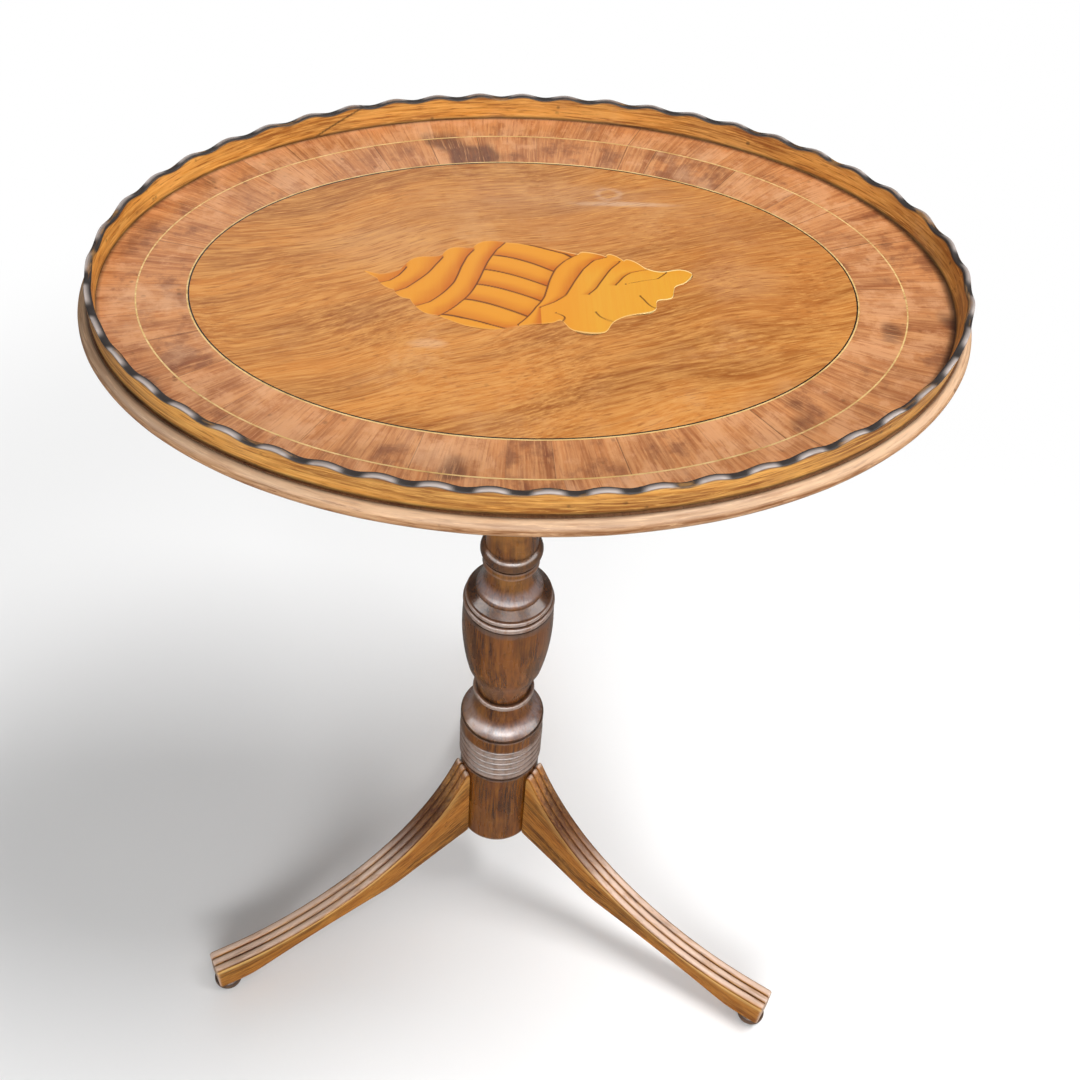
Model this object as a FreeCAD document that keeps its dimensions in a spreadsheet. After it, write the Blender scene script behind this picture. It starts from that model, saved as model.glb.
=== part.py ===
import FreeCAD
import Part
import Sketcher
import math
import os
import re

Vector = FreeCAD.Vector
Rotation = FreeCAD.Rotation
Placement = FreeCAD.Placement
UP = Vector(0, 0, 1)
SIDES = {"left": -1, "right": 1}
LEGS = {"left": (2, "leg_reach"), "right": (0, "right_reach"), "back": (1, "leg_reach")}

# Driving sizes in millimetres, degrees and counts. Heights are above the floor.
SIZES = {
    "table_height": 712,
    "board_thick": 12,
    "veneer": 1,
    "board_major": 265.5,
    "board_minor": 187.5,
    "bead_radius": 6,
    "gallery_setback": 1.2,
    "gallery_wall": 4.3,
    "gallery_rise": 16,
    "wave_rise": 1.2,
    "wave_count": 48,
    "outer_band": 25.7,
    "outer_band_side": 21.2,
    "rim_shift": 3.2,
    "outer_boxwood": 0.9,
    "inner_band": 29,
    "boxwood_width": 0.9,
    "ebony_width": 0.9,
    "band_pieces": 16,
    "joint_gap": 0.1,
    "shell_length": 202,
    "shell_width": 85,
    "line_width": 0.4,
    "block_length": 150,
    "block_depth": 150,
    "block_thick": 34,
    "end_clear": 0.3,
    "end_ramp": 3,
    "side_clear": 0.5,
    "pin_radius": 6,
    "pin_clear": 0.06,
    "pin_bite": 30,
    "bearer_width": 20,
    "bearer_depth": 32,
    "bearer_setback": 40,
    "bearer_slope": 40,
    "bearer_toe": 10,
    "screw_radius": 2,
    "screw_head": 4,
    "screw_cone": 2.6,
    "screw_bite": 7,
    "screw_inset": 15,
    "keeper_thick": 2,
    "keeper_width": 44,
    "keeper_drop": 1,
    "keeper_height": 15,
    "bolt_width": 12,
    "bolt_thick": 5,
    "bolt_length": 42,
    "bolt_gap": 2.5,
    "bolt_slack": 0.08,
    "mouth_clear": 0.4,
    "bolt_bite": 9,
    "knob_radius": 3,
    "knob_height": 8,
    "knob_setback": 25.5,
    "plate_thick": 2,
    "plate_length": 46,
    "plate_width": 40,
    "staple_length": 6,
    "staple_wall": 2.5,
    "staple_first": 4,
    "staple_second": 30,
    "tenon_radius": 16,
    "wedge_margin": 3,
    "wedge_depth": 27,
    "wedge_head": 3.2,
    "wedge_tip": 0.8,
    "column_foot": 96,
    "foot_round": 7,
    "socket_radius": 34,
    "socket_height": 105,
    "recess": 1.4,
    "drum_radius": 34.8,
    "drum_step": 2.5,
    "reed_pitch": 8,
    "reed_count": 5,
    "reed_swell": 1.8,
    "drum_band": 15,
    "bell_radius": 33.6,
    "bell_edge": 2.5,
    "bell_height": 29.5,
    "bell_hollow": 4.5,
    "collar_radius": 23.6,
    "collar_height": 6,
    "collar_swell": 1.8,
    "vase_foot": 21.6,
    "vase_step": 2,
    "vase_flare": 30,
    "vase_flare_hollow": 1,
    "vase_waist": 29.8,
    "vase_height": 78,
    "vase_radius": 34.6,
    "vase_swell": 2.8,
    "vase_bead": 6.5,
    "bead_swell": 2,
    "cap_radius": 31.6,
    "cap_bead": 5.5,
    "cap_slope": 6,
    "flare_rim": 25.6,
    "flare_edge": 2,
    "flare_height": 28,
    "flare_hollow": 3,
    "neck_radius": 18.4,
    "fillet_radius": 21.4,
    "fillet_height": 7,
    "torus_height": 14,
    "torus_swell": 3.8,
    "shaft_step": 3,
    "shaft_foot": 19.6,
    "shaft_radius": 15.4,
    "ring_radius": 16.2,
    "ring_height": 7,
    "ring_swell": 1.9,
    "capital_height": 22,
    "capital_edge": 4,
    "capital_radius": 23,
    "capital_hollow": 3.5,
    "leg_width": 21,
    "leg_angle": -34.6,
    "leg_reach": 280,
    "right_reach": 291,
    "knee_drop": 2,
    "knee_edge": 2,
    "leg_hollow": 42,
    "toe_length": 20,
    "toe_height": 43,
    "sole_height": 10,
    "sole_length": 30,
    "arch_reach": 111,
    "arch_height": 57,
    "arch_hollow": 3,
    "heel_rise": 14,
    "reed_round": 3.1,
    "tongue_neck": 10,
    "tongue_head": 14,
    "tongue_depth": 16,
    "tongue_inset": 6,
    "foot_base": 8.5,
    "foot_swell": 3.5,
    "foot_inset": 10,
    "spigot_radius": 4,
    "spigot_height": 14,
    "overrun": 2,
}

# Shell outline from the tip along the top to the lip and back, as shares of half length and half width.
SHELL_OUTLINE_SHARES = (
    (-0.98, 0.33), (-0.88, 0.27), (-0.77, 0.37), (-0.68, 0.57), (-0.55, 0.66), (-0.46, 0.81),
    (-0.35, 0.87), (-0.24, 0.99), (-0.08, 1.03), (0.16, 0.91), (0.31, 0.80), (0.40, 0.76),
    (0.52, 0.73), (0.67, 0.57), (0.81, 0.41), (0.95, 0.46), (1.02, 0.36), (0.97, 0.16),
    (0.90, 0.05), (0.87, -0.19), (0.78, -0.26), (0.75, -0.48), (0.59, -0.59), (0.50, -0.73),
    (0.43, -0.96), (0.26, -0.92), (0.19, -0.71), (0.13, -0.76), (-0.04, -0.82), (-0.20, -0.91),
    (-0.36, -0.85), (-0.48, -0.71), (-0.61, -0.52), (-0.71, -0.26), (-0.79, -0.10), (-0.88, 0.12),
)
# Joint lines of the shell, each from above its top edge to below its lower edge, in the same shares.
WHORL_LINE_SHARES = (
    ((-0.72, 0.56), (-0.72, 0.26), (-0.79, 0.08), (-0.87, -0.06)),
    ((-0.58, 0.76), (-0.60, 0.42), (-0.69, 0.08), (-0.82, -0.22)),
    ((-0.43, 0.96), (-0.44, 0.52), (-0.53, 0.05), (-0.69, -0.46)),
    ((-0.31, 1.04), (-0.33, 0.47), (-0.40, -0.05), (-0.58, -0.70)),
)
BODY_LEFT_SHARES = ((-0.15, 1.16), (-0.28, 0.47), (-0.32, -0.05), (-0.50, -0.86))
BODY_RIGHT_SHARES = ((0.33, 0.94), (0.18, 0.33), (0.11, -0.28), (-0.05, -0.96))
LIP_LINE_SHARES = (
    ((0.55, 0.86), (0.32, 0.33), (0.23, -0.19), (0.12, -0.90)),
    ((0.72, 0.66), (0.44, 0.28), (0.34, -0.14), (0.22, -0.86)),
)
RIB_SHARES = (0.24, 0.38, 0.52, 0.66, 0.80)
RIB_SAG_SHARE = 0.06

doc = FreeCAD.newDocument("tea_table")
sheet = doc.addObject("Spreadsheet::Sheet", "Sheet")
for row, (alias, number) in enumerate(SIZES.items(), start=1):
    sheet.set("A%d" % row, alias)
    sheet.set("B%d" % row, str(number))
    sheet.setAlias("B%d" % row, alias)
doc.recompute()

NODES = []


def bound(text):
    """Expression text with every alias pointed at the sheet."""
    def pointed(word):
        alias = word.group()
        return "Sheet." + alias if alias in SIZES else alias

    return re.sub(r"[a-z_]+", pointed, text)


def value(text):
    """Number that an expression of aliases gives."""
    result = sheet.evalExpression(text)
    return float(getattr(result, "Value", result))


def bind(item, **sizes):
    """Bind properties of an object to expressions and return the object."""
    for name, text in sizes.items():
        item.setExpression(name, bound(text))
    return item


def place(item, x="0", y="0", z="0"):
    """Bind the position of an object to expressions and return the object."""
    for letter, text in (("x", x), ("y", y), ("z", z)):
        item.setExpression("Placement.Base." + letter, bound(text))
    return item


def node(item, label):
    """Name a finished piece."""
    item.Label = label
    NODES.append(item)
    return item


def arc_centre(start, end, radius, side):
    """Centre of the arc between two points, on the left of the travel for side 1."""
    chord = end - start
    rise = math.sqrt(max(radius ** 2 - chord.Length ** 2 / 4, 0))
    across = Vector(-chord.y, chord.x, 0).normalize()
    return (start + end) / 2 + across * (rise * side)


def arc(across, along, rise):
    """Radius of the arc over a chord that has a given rise."""
    return "((%s)^2 + (%s)^2) / (8 * %s) + %s / 2" % (across, along, rise, rise)


def draw(sketch, corners):
    """Closed outline of lines and arcs.

    Each corner is across, up and, for an arc to the next, radius and side.
    """
    points = [Vector(value(corner[0]), value(corner[1]), 0) for corner in corners]
    begins = []
    ends = []
    for index, corner in enumerate(corners):
        start = points[index]
        end = points[(index + 1) % len(points)]
        if len(corner) == 2:
            sketch.addGeometry(Part.LineSegment(start, end))
            begins.append(1)
            ends.append(2)
            continue
        radius = value(corner[2])
        side = corner[3]
        centre = arc_centre(start, end, radius, side)
        first, last = (start, end) if side > 0 else (end, start)
        circle = Part.Circle(centre, UP, radius)
        sketch.addGeometry(Part.ArcOfCircle(circle, circle.parameter(first), circle.parameter(last)))
        begins.append(1 if side > 0 else 2)
        ends.append(2 if side > 0 else 1)
    for index, corner in enumerate(corners):
        after = (index + 1) % len(corners)
        sketch.addConstraint(Sketcher.Constraint("Coincident", index, ends[index], after, begins[after]))
    for index, corner in enumerate(corners):
        for kind, axis, text, number in (
            ("DistanceX", -2, corner[0], points[index].x),
            ("DistanceY", -1, corner[1], points[index].y),
        ):
            if text == "0":
                sketch.addConstraint(Sketcher.Constraint("PointOnObject", index, begins[index], axis))
                continue
            spot = sketch.addConstraint(Sketcher.Constraint(kind, index, begins[index], number))
            sketch.setExpression("Constraints[%d]" % spot, bound(text))
        if len(corner) > 2:
            spot = sketch.addConstraint(Sketcher.Constraint("Radius", index, value(corner[2])))
            sketch.setExpression("Constraints[%d]" % spot, bound(corner[2]))


def sketch_on(body, role, corners):
    """Sketch of an outline on one of the body's own planes."""
    sketch = body.newObject("Sketcher::SketchObject", body.Name + "_outline")
    plane = [item for item in body.Origin.OriginFeatures if item.Role == role][0]
    sketch.AttachmentSupport = (plane, [""])
    sketch.MapMode = "FlatFace"
    draw(sketch, corners)
    doc.recompute()
    return sketch


def turned(name, corners):
    """Body turned about the upright axis; across is the radius."""
    body = doc.addObject("PartDesign::Body", name)
    sketch = sketch_on(body, "XZ_Plane", corners)
    turn = body.newObject("PartDesign::Revolution", name + "_turn")
    turn.Profile = sketch
    turn.ReferenceAxis = (sketch, ["V_Axis"])
    turn.Angle = 360
    doc.recompute()
    return body


def sawn(name, role, corners, length):
    """Body of one thickness, centred on its outline's plane."""
    body = doc.addObject("PartDesign::Body", name)
    sketch = sketch_on(body, role, corners)
    pad = body.newObject("PartDesign::Pad", name + "_pad")
    pad.Profile = sketch
    pad.Midplane = True
    bind(pad, Length=length)
    doc.recompute()
    return body


def box(name, across, along, tall, x="0", y="0", z="0"):
    """Block centred on x, from y along Y and from z upward."""
    item = doc.addObject("Part::Box", name)
    bind(item, Length=across, Width=along, Height=tall)
    return place(item, "%s - (%s) / 2" % (x, across), y, z)


def oval(name, major, minor, low, tall, shift="0"):
    """Oval slab from a low height upward, with its centre shifted along X."""
    edge = doc.addObject("Part::Ellipse", name + "_edge")
    bind(edge, MajorRadius=major, MinorRadius=minor)
    place(edge, shift, "0", low)
    slab = doc.addObject("Part::Extrusion", name)
    slab.Base = edge
    slab.DirMode = "Custom"
    slab.Dir = UP
    slab.Solid = True
    bind(slab, LengthFwd=tall)
    return slab


def cut(name, base, *tools):
    """One piece with the tools taken away."""
    for count, tool in enumerate(tools):
        item = doc.addObject("Part::Cut", "%s_%d" % (name, count))
        item.Base = base
        item.Tool = tool
        base = item
    return base


def joined(name, *pieces):
    """One solid of several touching or crossing pieces."""
    item = doc.addObject("Part::MultiFuse", name)
    item.Shapes = list(pieces)
    item.Refine = True
    return item


def grouped(name, *pieces):
    """One node of several separate solids."""
    item = doc.addObject("Part::Compound", name)
    item.Links = list(pieces)
    return item


def shaped(name, shape):
    """Piece whose surface is worked out from the sheet by a formula."""
    item = doc.addObject("Part::Feature", name)
    item.Shape = shape
    return item


def screw(name, length, x, y, z, turn=None):
    """Countersunk screw with its head flush at a point and its shank up, or along the turned axis."""
    head = doc.addObject("Part::Cone", name + "_head")
    bind(head, Radius1="screw_head", Radius2="screw_radius", Height="screw_cone")
    shank = doc.addObject("Part::Cylinder", name + "_shank")
    bind(shank, Radius="screw_radius", Height=length)
    item = joined(name, head, shank)
    if turn:
        item.Placement = Placement(Vector(), turn)
    return place(item, x, y, z)


def oval_points(major, minor, count):
    """Points spaced evenly along an oval, on the floor plane."""
    edge = Part.Ellipse(Vector(), major, minor).toShape()
    return edge.discretize(Number=count + 1)[:-1]


def closed_curve(points):
    """Smooth closed edge through points."""
    curve = Part.BSplineCurve()
    curve.interpolate(Points=points, PeriodicFlag=True)
    return curve.toShape()


BOARD_LOW = "table_height - veneer - board_thick"
VENEER_LOW = "table_height - veneer"
PIVOT_Y = "(block_thick - block_depth) / 2"
PIVOT_Z = BOARD_LOW + " - block_thick / 2"
BLOCK_LOW = BOARD_LOW + " - block_thick"
GALLERY_MAJOR = "board_major - gallery_setback - gallery_wall"
GALLERY_MINOR = "board_minor - gallery_setback - gallery_wall"

# Column, turned from one length, with a round tenon on top.
SOCKET_HIGH = "column_foot + socket_height"
FLARE_HOLLOW = arc("flare_rim - neck_radius", "flare_height", "flare_hollow")
CAPITAL_HOLLOW = arc("capital_radius - shaft_radius", "capital_height - capital_edge", "capital_hollow")
REED_LOW = SOCKET_HIGH + " + drum_step"
REED_HIGH = REED_LOW + " + reed_pitch * reed_count"
DRUM_HIGH = REED_HIGH + " + recess + drum_band"
BELL_LOW = DRUM_HIGH + " + bell_edge"
BELL_HIGH = BELL_LOW + " + bell_height"
COLLAR_HIGH = BELL_HIGH + " + collar_height"
VASE_LOW = COLLAR_HIGH + " + vase_step"
VASE_WAIST = VASE_LOW + " + vase_flare"
VASE_HIGH = VASE_WAIST + " + vase_height"
CAP_LOW = VASE_HIGH + " + vase_bead"
CAP_HIGH = CAP_LOW + " + cap_bead"
FLARE_LOW = CAP_HIGH + " + cap_slope"
FLARE_HIGH = FLARE_LOW + " + flare_edge + flare_height"
TORUS_LOW = FLARE_HIGH + " + fillet_height"
TORUS_HIGH = TORUS_LOW + " + torus_height"
RING_HIGH = BLOCK_LOW + " - capital_height"
RING_LOW = RING_HIGH + " - ring_height"
reed = arc("0", "reed_pitch", "reed_swell")
column_corners = [
    ("0", "column_foot"),
    ("socket_radius - foot_round", "column_foot", "foot_round", 1),
    ("socket_radius", "column_foot + foot_round"),
    ("socket_radius", SOCKET_HIGH),
    ("drum_radius - recess", SOCKET_HIGH),
]
for step in range(int(value("reed_count"))):
    column_corners.append(("drum_radius - recess", REED_LOW + " + reed_pitch * %d" % step, reed, 1))
column_corners += [
    ("drum_radius - recess", REED_HIGH),
    ("drum_radius", REED_HIGH + " + recess"),
    ("drum_radius", DRUM_HIGH),
    ("bell_radius", DRUM_HIGH),
    ("bell_radius", BELL_LOW, arc("bell_radius - vase_foot", "bell_height", "bell_hollow"), -1),
    ("vase_foot", BELL_HIGH),
    ("collar_radius", BELL_HIGH, arc("0", "collar_height", "collar_swell"), 1),
    ("collar_radius", COLLAR_HIGH),
    ("vase_foot", COLLAR_HIGH),
    ("vase_foot", VASE_LOW, arc("vase_waist - vase_foot", "vase_flare", "vase_flare_hollow"), -1),
    ("vase_waist", VASE_WAIST, arc("vase_radius - vase_waist", "vase_height", "vase_swell"), 1),
    ("vase_radius", VASE_HIGH),
    ("vase_radius - recess", VASE_HIGH, arc("0", "vase_bead", "bead_swell"), 1),
    ("vase_radius - recess", CAP_LOW),
    ("cap_radius", CAP_LOW, arc("0", "cap_bead", "bead_swell"), 1),
    ("cap_radius", CAP_HIGH),
    ("flare_rim", FLARE_LOW),
    ("flare_rim", FLARE_LOW + " + flare_edge", FLARE_HOLLOW, -1),
    ("neck_radius", FLARE_HIGH),
    ("fillet_radius", FLARE_HIGH),
    ("fillet_radius", TORUS_LOW),
    ("shaft_foot", TORUS_LOW, arc("0", "torus_height", "torus_swell"), 1),
    ("shaft_foot", TORUS_HIGH),
    ("shaft_foot", TORUS_HIGH + " + shaft_step"),
    ("shaft_radius", RING_LOW),
    ("ring_radius", RING_LOW, arc("0", "ring_height", "ring_swell"), 1),
    ("ring_radius", RING_HIGH),
    ("shaft_radius", RING_HIGH, CAPITAL_HOLLOW, -1),
    ("capital_radius", BLOCK_LOW + " - capital_edge"),
    ("capital_radius", BLOCK_LOW),
    ("tenon_radius", BLOCK_LOW),
    ("tenon_radius", BOARD_LOW),
    ("0", BOARD_LOW),
]
turned_column = turned("turned_column", column_corners)

wedge = node(
    sawn(
        "wedge",
        "YZ_Plane",
        [
            ("-wedge_tip / 2", BOARD_LOW + " - wedge_depth"),
            ("wedge_tip / 2", BOARD_LOW + " - wedge_depth"),
            ("wedge_head / 2", BOARD_LOW),
            ("-wedge_head / 2", BOARD_LOW),
        ],
        "(tenon_radius - wedge_margin) * 2",
    ),
    "tenon_wedge",
)

# Legs: each has three full round reeds along its swept top and a dovetail tongue in the column.
KNEE = SOCKET_HIGH + " - knee_drop"
TONGUE_ROOT = "socket_radius - tongue_depth"
TONGUE_CORNERS = [
    (TONGUE_ROOT, "-tongue_head / 2"),
    ("socket_radius + knee_edge", "-tongue_neck / 2"),
    ("socket_radius + knee_edge", "tongue_neck / 2"),
    (TONGUE_ROOT, "tongue_head / 2"),
]


def sweep_of(reach):
    """Radius of the swept top of a leg."""
    return arc(reach + " - toe_length - socket_radius - knee_edge", KNEE + " - toe_height", "leg_hollow")


def leg_corners(reach):
    """Side outline of a leg that ends at a reach."""
    sole_start = reach + " - sole_length"
    arch = arc(sole_start + " - arch_reach", "arch_height - sole_height", "arch_hollow")
    return [
        (TONGUE_ROOT, "column_foot + heel_rise"),
        ("arch_reach", "arch_height", arch, 1),
        (sole_start, "sole_height"),
        (reach, "sole_height"),
        (reach, "toe_height"),
        (reach + " - toe_length", "toe_height", sweep_of(reach), -1),
        ("socket_radius + knee_edge", KNEE),
        (TONGUE_ROOT, KNEE),
    ]


def reed_edges(shape, sweep):
    """Edges along the swept top and the toe of one third of a leg."""
    toe = value("toe_height")
    near = value("joint_gap")
    chosen = []
    for edge in shape.Edges:
        swept = isinstance(edge.Curve, Part.Circle) and abs(edge.Curve.Radius - sweep) < near
        ends = [vertex.Point for vertex in edge.Vertexes]
        along = abs(ends[0].y - ends[1].y) < near
        if along and (swept or all(abs(point.z - toe) < near for point in ends)):
            chosen.append(edge)
    return chosen


def reeded(name, reach):
    """Leg blank of three rounded thirds, set along X."""
    third = value("leg_width") / 3
    blank = sawn(name + "_third", "XZ_Plane", leg_corners(reach), "leg_width / 3")
    edges = reed_edges(blank.Shape, value(sweep_of(reach)))
    rounded = blank.Shape.makeFillet(value("reed_round"), edges)
    thirds = [rounded.translated(Vector(0, third * step, 0)) for step in (-1, 0, 1)]
    return shaped(name + "_blank", thirds[0].fuse(thirds[1:]).removeSplitter())


tongues = []
for side, (step, reach) in LEGS.items():
    turn = Rotation(UP, value("leg_angle") + step * 120)
    blank = reeded("leg_" + side, reach)
    clearing = doc.addObject("Part::Cylinder", "clearing_" + side)
    bind(clearing, Radius="socket_radius", Height="table_height")
    tongue = sawn("tongue_" + side, "XY_Plane", TONGUE_CORNERS, "(socket_height - tongue_inset * 2) * 2")
    low_half = box(
        "below_" + side,
        "table_height",
        "table_height",
        "table_height",
        y="-table_height / 2",
        z="-table_height",
    )
    upper_tongue = cut("upper_tongue_" + side, tongue, low_half)
    place(upper_tongue, z="column_foot + tongue_inset")
    spigot_hole = doc.addObject("Part::Cylinder", "spigot_hole_" + side)
    bind(spigot_hole, Radius="spigot_radius", Height="spigot_height")
    place(spigot_hole, reach + " - foot_inset", "0", "sole_height")
    whole = joined("whole_leg_" + side, cut("shouldered_" + side, blank, clearing), upper_tongue)
    leg = cut("leg_with_hole_" + side, whole, spigot_hole)
    leg.Placement = Placement(Vector(), turn)
    node(leg, "leg_" + side)
    socket = doc.addObject("Part::Compound", "socket_" + side)
    socket.Links = [upper_tongue]
    socket.Placement = Placement(Vector(), turn)
    tongues.append(socket)
    foot = turned(
        "button_" + side,
        [
            ("0", "0"),
            ("foot_base", "0", arc("0", "sole_height", "foot_swell"), 1),
            ("foot_base", "sole_height"),
            ("spigot_radius", "sole_height"),
            ("spigot_radius", "sole_height + spigot_height"),
            ("0", "sole_height + spigot_height"),
        ],
    )
    centre = turn.multVec(Vector(value(reach + " - foot_inset"), 0, 0))
    foot.Placement = Placement(centre, turn)
    node(foot, "foot_" + side)
node(cut("column", turned_column, wedge, *tongues), "column")

# Tilting block, rounded about the pivot at its front end.
block_blank = sawn(
    "block_blank",
    "YZ_Plane",
    [
        (PIVOT_Y + " + end_ramp", BLOCK_LOW),
        ("block_depth / 2", BLOCK_LOW),
        ("block_depth / 2", BOARD_LOW),
        (PIVOT_Y + " + end_ramp", BOARD_LOW),
        (PIVOT_Y, BOARD_LOW + " - end_clear", "block_thick / 2 - end_clear", 1),
        (PIVOT_Y + " - block_thick / 2 + end_clear", PIVOT_Z, "block_thick / 2 - end_clear", 1),
        (PIVOT_Y, BLOCK_LOW + " + end_clear"),
    ],
    "block_length",
)
mortise = doc.addObject("Part::Cylinder", "tenon_mortise")
bind(mortise, Radius="tenon_radius", Height="block_thick")
place(mortise, z=BLOCK_LOW)

# Pivot pins, driven into the block and running in the bearers.
pins = []
for side, sign in SIDES.items():
    pin = doc.addObject("Part::Cylinder", "pin_" + side)
    bind(pin, Radius="pin_radius", Height="pin_bite + side_clear + bearer_width")
    pin.Placement = Placement(Vector(), Rotation(Vector(0, 1, 0), 90))
    low = "block_length / 2 - pin_bite" if sign > 0 else "-block_length / 2 - side_clear - bearer_width"
    pins.append(node(place(pin, low, PIVOT_Y, PIVOT_Z), "pivot_pin_" + side))

# Keeper plate on the back of the block, with the bolt's mortise behind it.
BOLT_TOP = BOARD_LOW + " - plate_thick - bolt_slack"
BOLT_LOW = BOLT_TOP + " - bolt_thick"
BLOCK_BACK = "block_depth / 2"
KEEPER_LOW = BOARD_LOW + " - keeper_drop - keeper_height"
BOLT_Y = BLOCK_BACK + " + keeper_thick + bolt_gap"
mouth = box(
    "mouth",
    "bolt_width + mouth_clear * 2",
    "keeper_thick + bolt_bite + overrun",
    "bolt_thick + mouth_clear * 2",
    y=BLOCK_BACK + " - bolt_bite",
    z=BOLT_LOW + " - mouth_clear",
)
keeper_blank = box(
    "keeper_blank",
    "keeper_width",
    "keeper_thick",
    "keeper_height",
    y=BLOCK_BACK,
    z=KEEPER_LOW,
)
keeper_pair = []
for side, sign in SIDES.items():
    keeper_pair.append(
        screw(
            "keeper_screw_" + side,
            "keeper_thick + screw_bite",
            "%d * (keeper_width / 2 - screw_head * 2)" % sign,
            BLOCK_BACK + " + keeper_thick",
            KEEPER_LOW + " + keeper_height / 2",
            Rotation(Vector(1, 0, 0), 90),
        )
    )
keeper_screws = node(grouped("keeper_pair", *keeper_pair), "keeper_screws")
node(cut("keeper", keeper_blank, mouth, keeper_screws), "keeper_plate")
node(cut("block", block_blank, mortise, mouth, keeper_screws, *pins), "tilt_block")

# Top board with its bearers and their screws.
BEARER_HALF = "board_minor - bearer_setback"
BEARER_HEEL = BEARER_HALF + " - bearer_slope"
bearers = []
screws = []
for side, sign in SIDES.items():
    blank = sawn(
        "bearer_blank_" + side,
        "YZ_Plane",
        [
            ("-(" + BEARER_HEEL + ")", BOARD_LOW + " - bearer_depth"),
            (BEARER_HEEL, BOARD_LOW + " - bearer_depth"),
            (BEARER_HALF, BOARD_LOW + " - bearer_toe"),
            (BEARER_HALF, BOARD_LOW),
            ("-(" + BEARER_HALF + ")", BOARD_LOW),
            ("-(" + BEARER_HALF + ")", BOARD_LOW + " - bearer_toe"),
        ],
        "bearer_width",
    )
    centre = "%d * (block_length / 2 + side_clear + bearer_width / 2)" % sign
    place(blank, centre)
    run = doc.addObject("Part::Cylinder", "pin_run_" + side)
    bind(run, Radius="pin_radius + pin_clear", Height="bearer_width + overrun * 2")
    run.Placement = Placement(Vector(), Rotation(Vector(0, 1, 0), 90))
    place(run, centre + " - bearer_width / 2 - overrun", PIVOT_Y, PIVOT_Z)
    pair = [
        screw(
            "bearer_screw_%s_%d" % (side, step + 1),
            "bearer_depth + screw_bite",
            centre,
            "%d * (%s - screw_inset)" % (step, BEARER_HEEL),
            BOARD_LOW + " - bearer_depth",
        )
        for step in (-1, 0, 1)
    ]
    screws += pair
    bearers.append(node(cut("bearer_" + side, blank, run, *pair), "bearer_" + side))
bearer_screws = node(grouped("bearer_screw_set", *screws), "bearer_screws")

# Catch: a plate with two staples, and the bolt that slides in them.
plate_blank = box(
    "plate_blank",
    "plate_width",
    "plate_length",
    "plate_thick",
    y=BOLT_Y,
    z=BOARD_LOW + " - plate_thick",
)
staples = [
    box(
        "staple_" + place_name,
        "bolt_width + staple_wall * 2",
        "staple_length",
        "bolt_thick + bolt_slack * 2 + staple_wall",
        y=BOLT_Y + " + " + place_name,
        z=BOLT_LOW + " - bolt_slack - staple_wall",
    )
    for place_name in ("staple_first", "staple_second")
]
channel = box(
    "channel",
    "bolt_width + bolt_slack * 2",
    "plate_length",
    "bolt_thick + bolt_slack * 2",
    y=BOLT_Y,
    z=BOLT_LOW + " - bolt_slack",
)
catch_set = []
for side, sign in SIDES.items():
    for along in ("screw_head * 2", "plate_length - screw_head * 2"):
        catch_set.append(
            screw(
                "catch_screw_%s_%d" % (side, len(catch_set)),
                "plate_thick + screw_bite",
                "%d * (plate_width / 2 - screw_head - overrun)" % sign,
                BOLT_Y + " + " + along,
                BOARD_LOW + " - plate_thick",
            )
        )
catch_screws = node(grouped("catch_screw_set", *catch_set), "catch_screws")
node(cut("catch", joined("catch_blank", plate_blank, *staples), channel, catch_screws), "catch_plate")
bar = box("bolt_bar", "bolt_width", "bolt_length", "bolt_thick", y=BOLT_Y, z=BOLT_LOW)
knob = doc.addObject("Part::Cylinder", "bolt_knob")
bind(knob, Radius="knob_radius", Height="knob_height")
place(knob, "0", BOLT_Y + " + knob_setback", BOLT_LOW + " - knob_height")
node(joined("bolt", bar, knob), "catch_bolt")
board_blank = oval("board_blank", "board_major", "board_minor", BOARD_LOW, "board_thick", "rim_shift")
node(cut("board", board_blank, bearer_screws, catch_screws), "top_board")


def bead_shape():
    """Half round swept round the edge of the board."""
    radius = value("bead_radius")
    major = value("board_major")
    edge = value("board_major + rim_shift")
    level = value(BOARD_LOW + " + board_thick / 2")
    centre = Vector(value("rim_shift"), 0, level)
    path = Part.Wire(Part.Ellipse(centre, major, value("board_minor")).toShape())
    low = Vector(edge, 0, level - radius)
    high = Vector(edge, 0, level + radius)
    round_side = Part.Arc(low, Vector(edge + radius, 0, level), high).toShape()
    profile = Part.Wire([round_side, Part.makeLine(high, low)])
    return Part.makeSolid(path.makePipeShell([profile], True, False))


def gallery_shape():
    """Upright wall on the outer crossband, whose top edge waves evenly round the oval."""
    count = int(value("wave_count"))
    samples = 8
    low = value("table_height")
    high = value("table_height + gallery_rise")
    wave = value("wave_rise")
    shift = value("rim_shift")
    rims = []
    for wall in (0, value("gallery_wall")):
        points = oval_points(value(GALLERY_MAJOR) + wall, value(GALLERY_MINOR) + wall, count * samples)
        base = [Vector(point.x + shift, point.y, low) for point in points]
        crest = [
            Vector(point.x + shift, point.y, high + wave * math.cos(math.tau * index / samples))
            for index, point in enumerate(points)
        ]
        rims.append((closed_curve(base), closed_curve(crest)))
    (inner_base, inner_crest), (outer_base, outer_crest) = rims
    faces = [
        Part.makeRuledSurface(inner_base, inner_crest),
        Part.makeRuledSurface(outer_base, outer_crest),
        Part.makeRuledSurface(inner_crest, outer_crest),
        Part.makeRuledSurface(inner_base, outer_base),
    ]
    wall = Part.makeShell(faces)
    wall.sewShape()
    return Part.makeSolid(wall.Shells[0])


def inlay_point(share, level):
    """Point on the top from shares of the shell's half length and half width."""
    return Vector(share[0] * value("shell_length") / 2, share[1] * value("shell_width") / 2, level)


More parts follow.
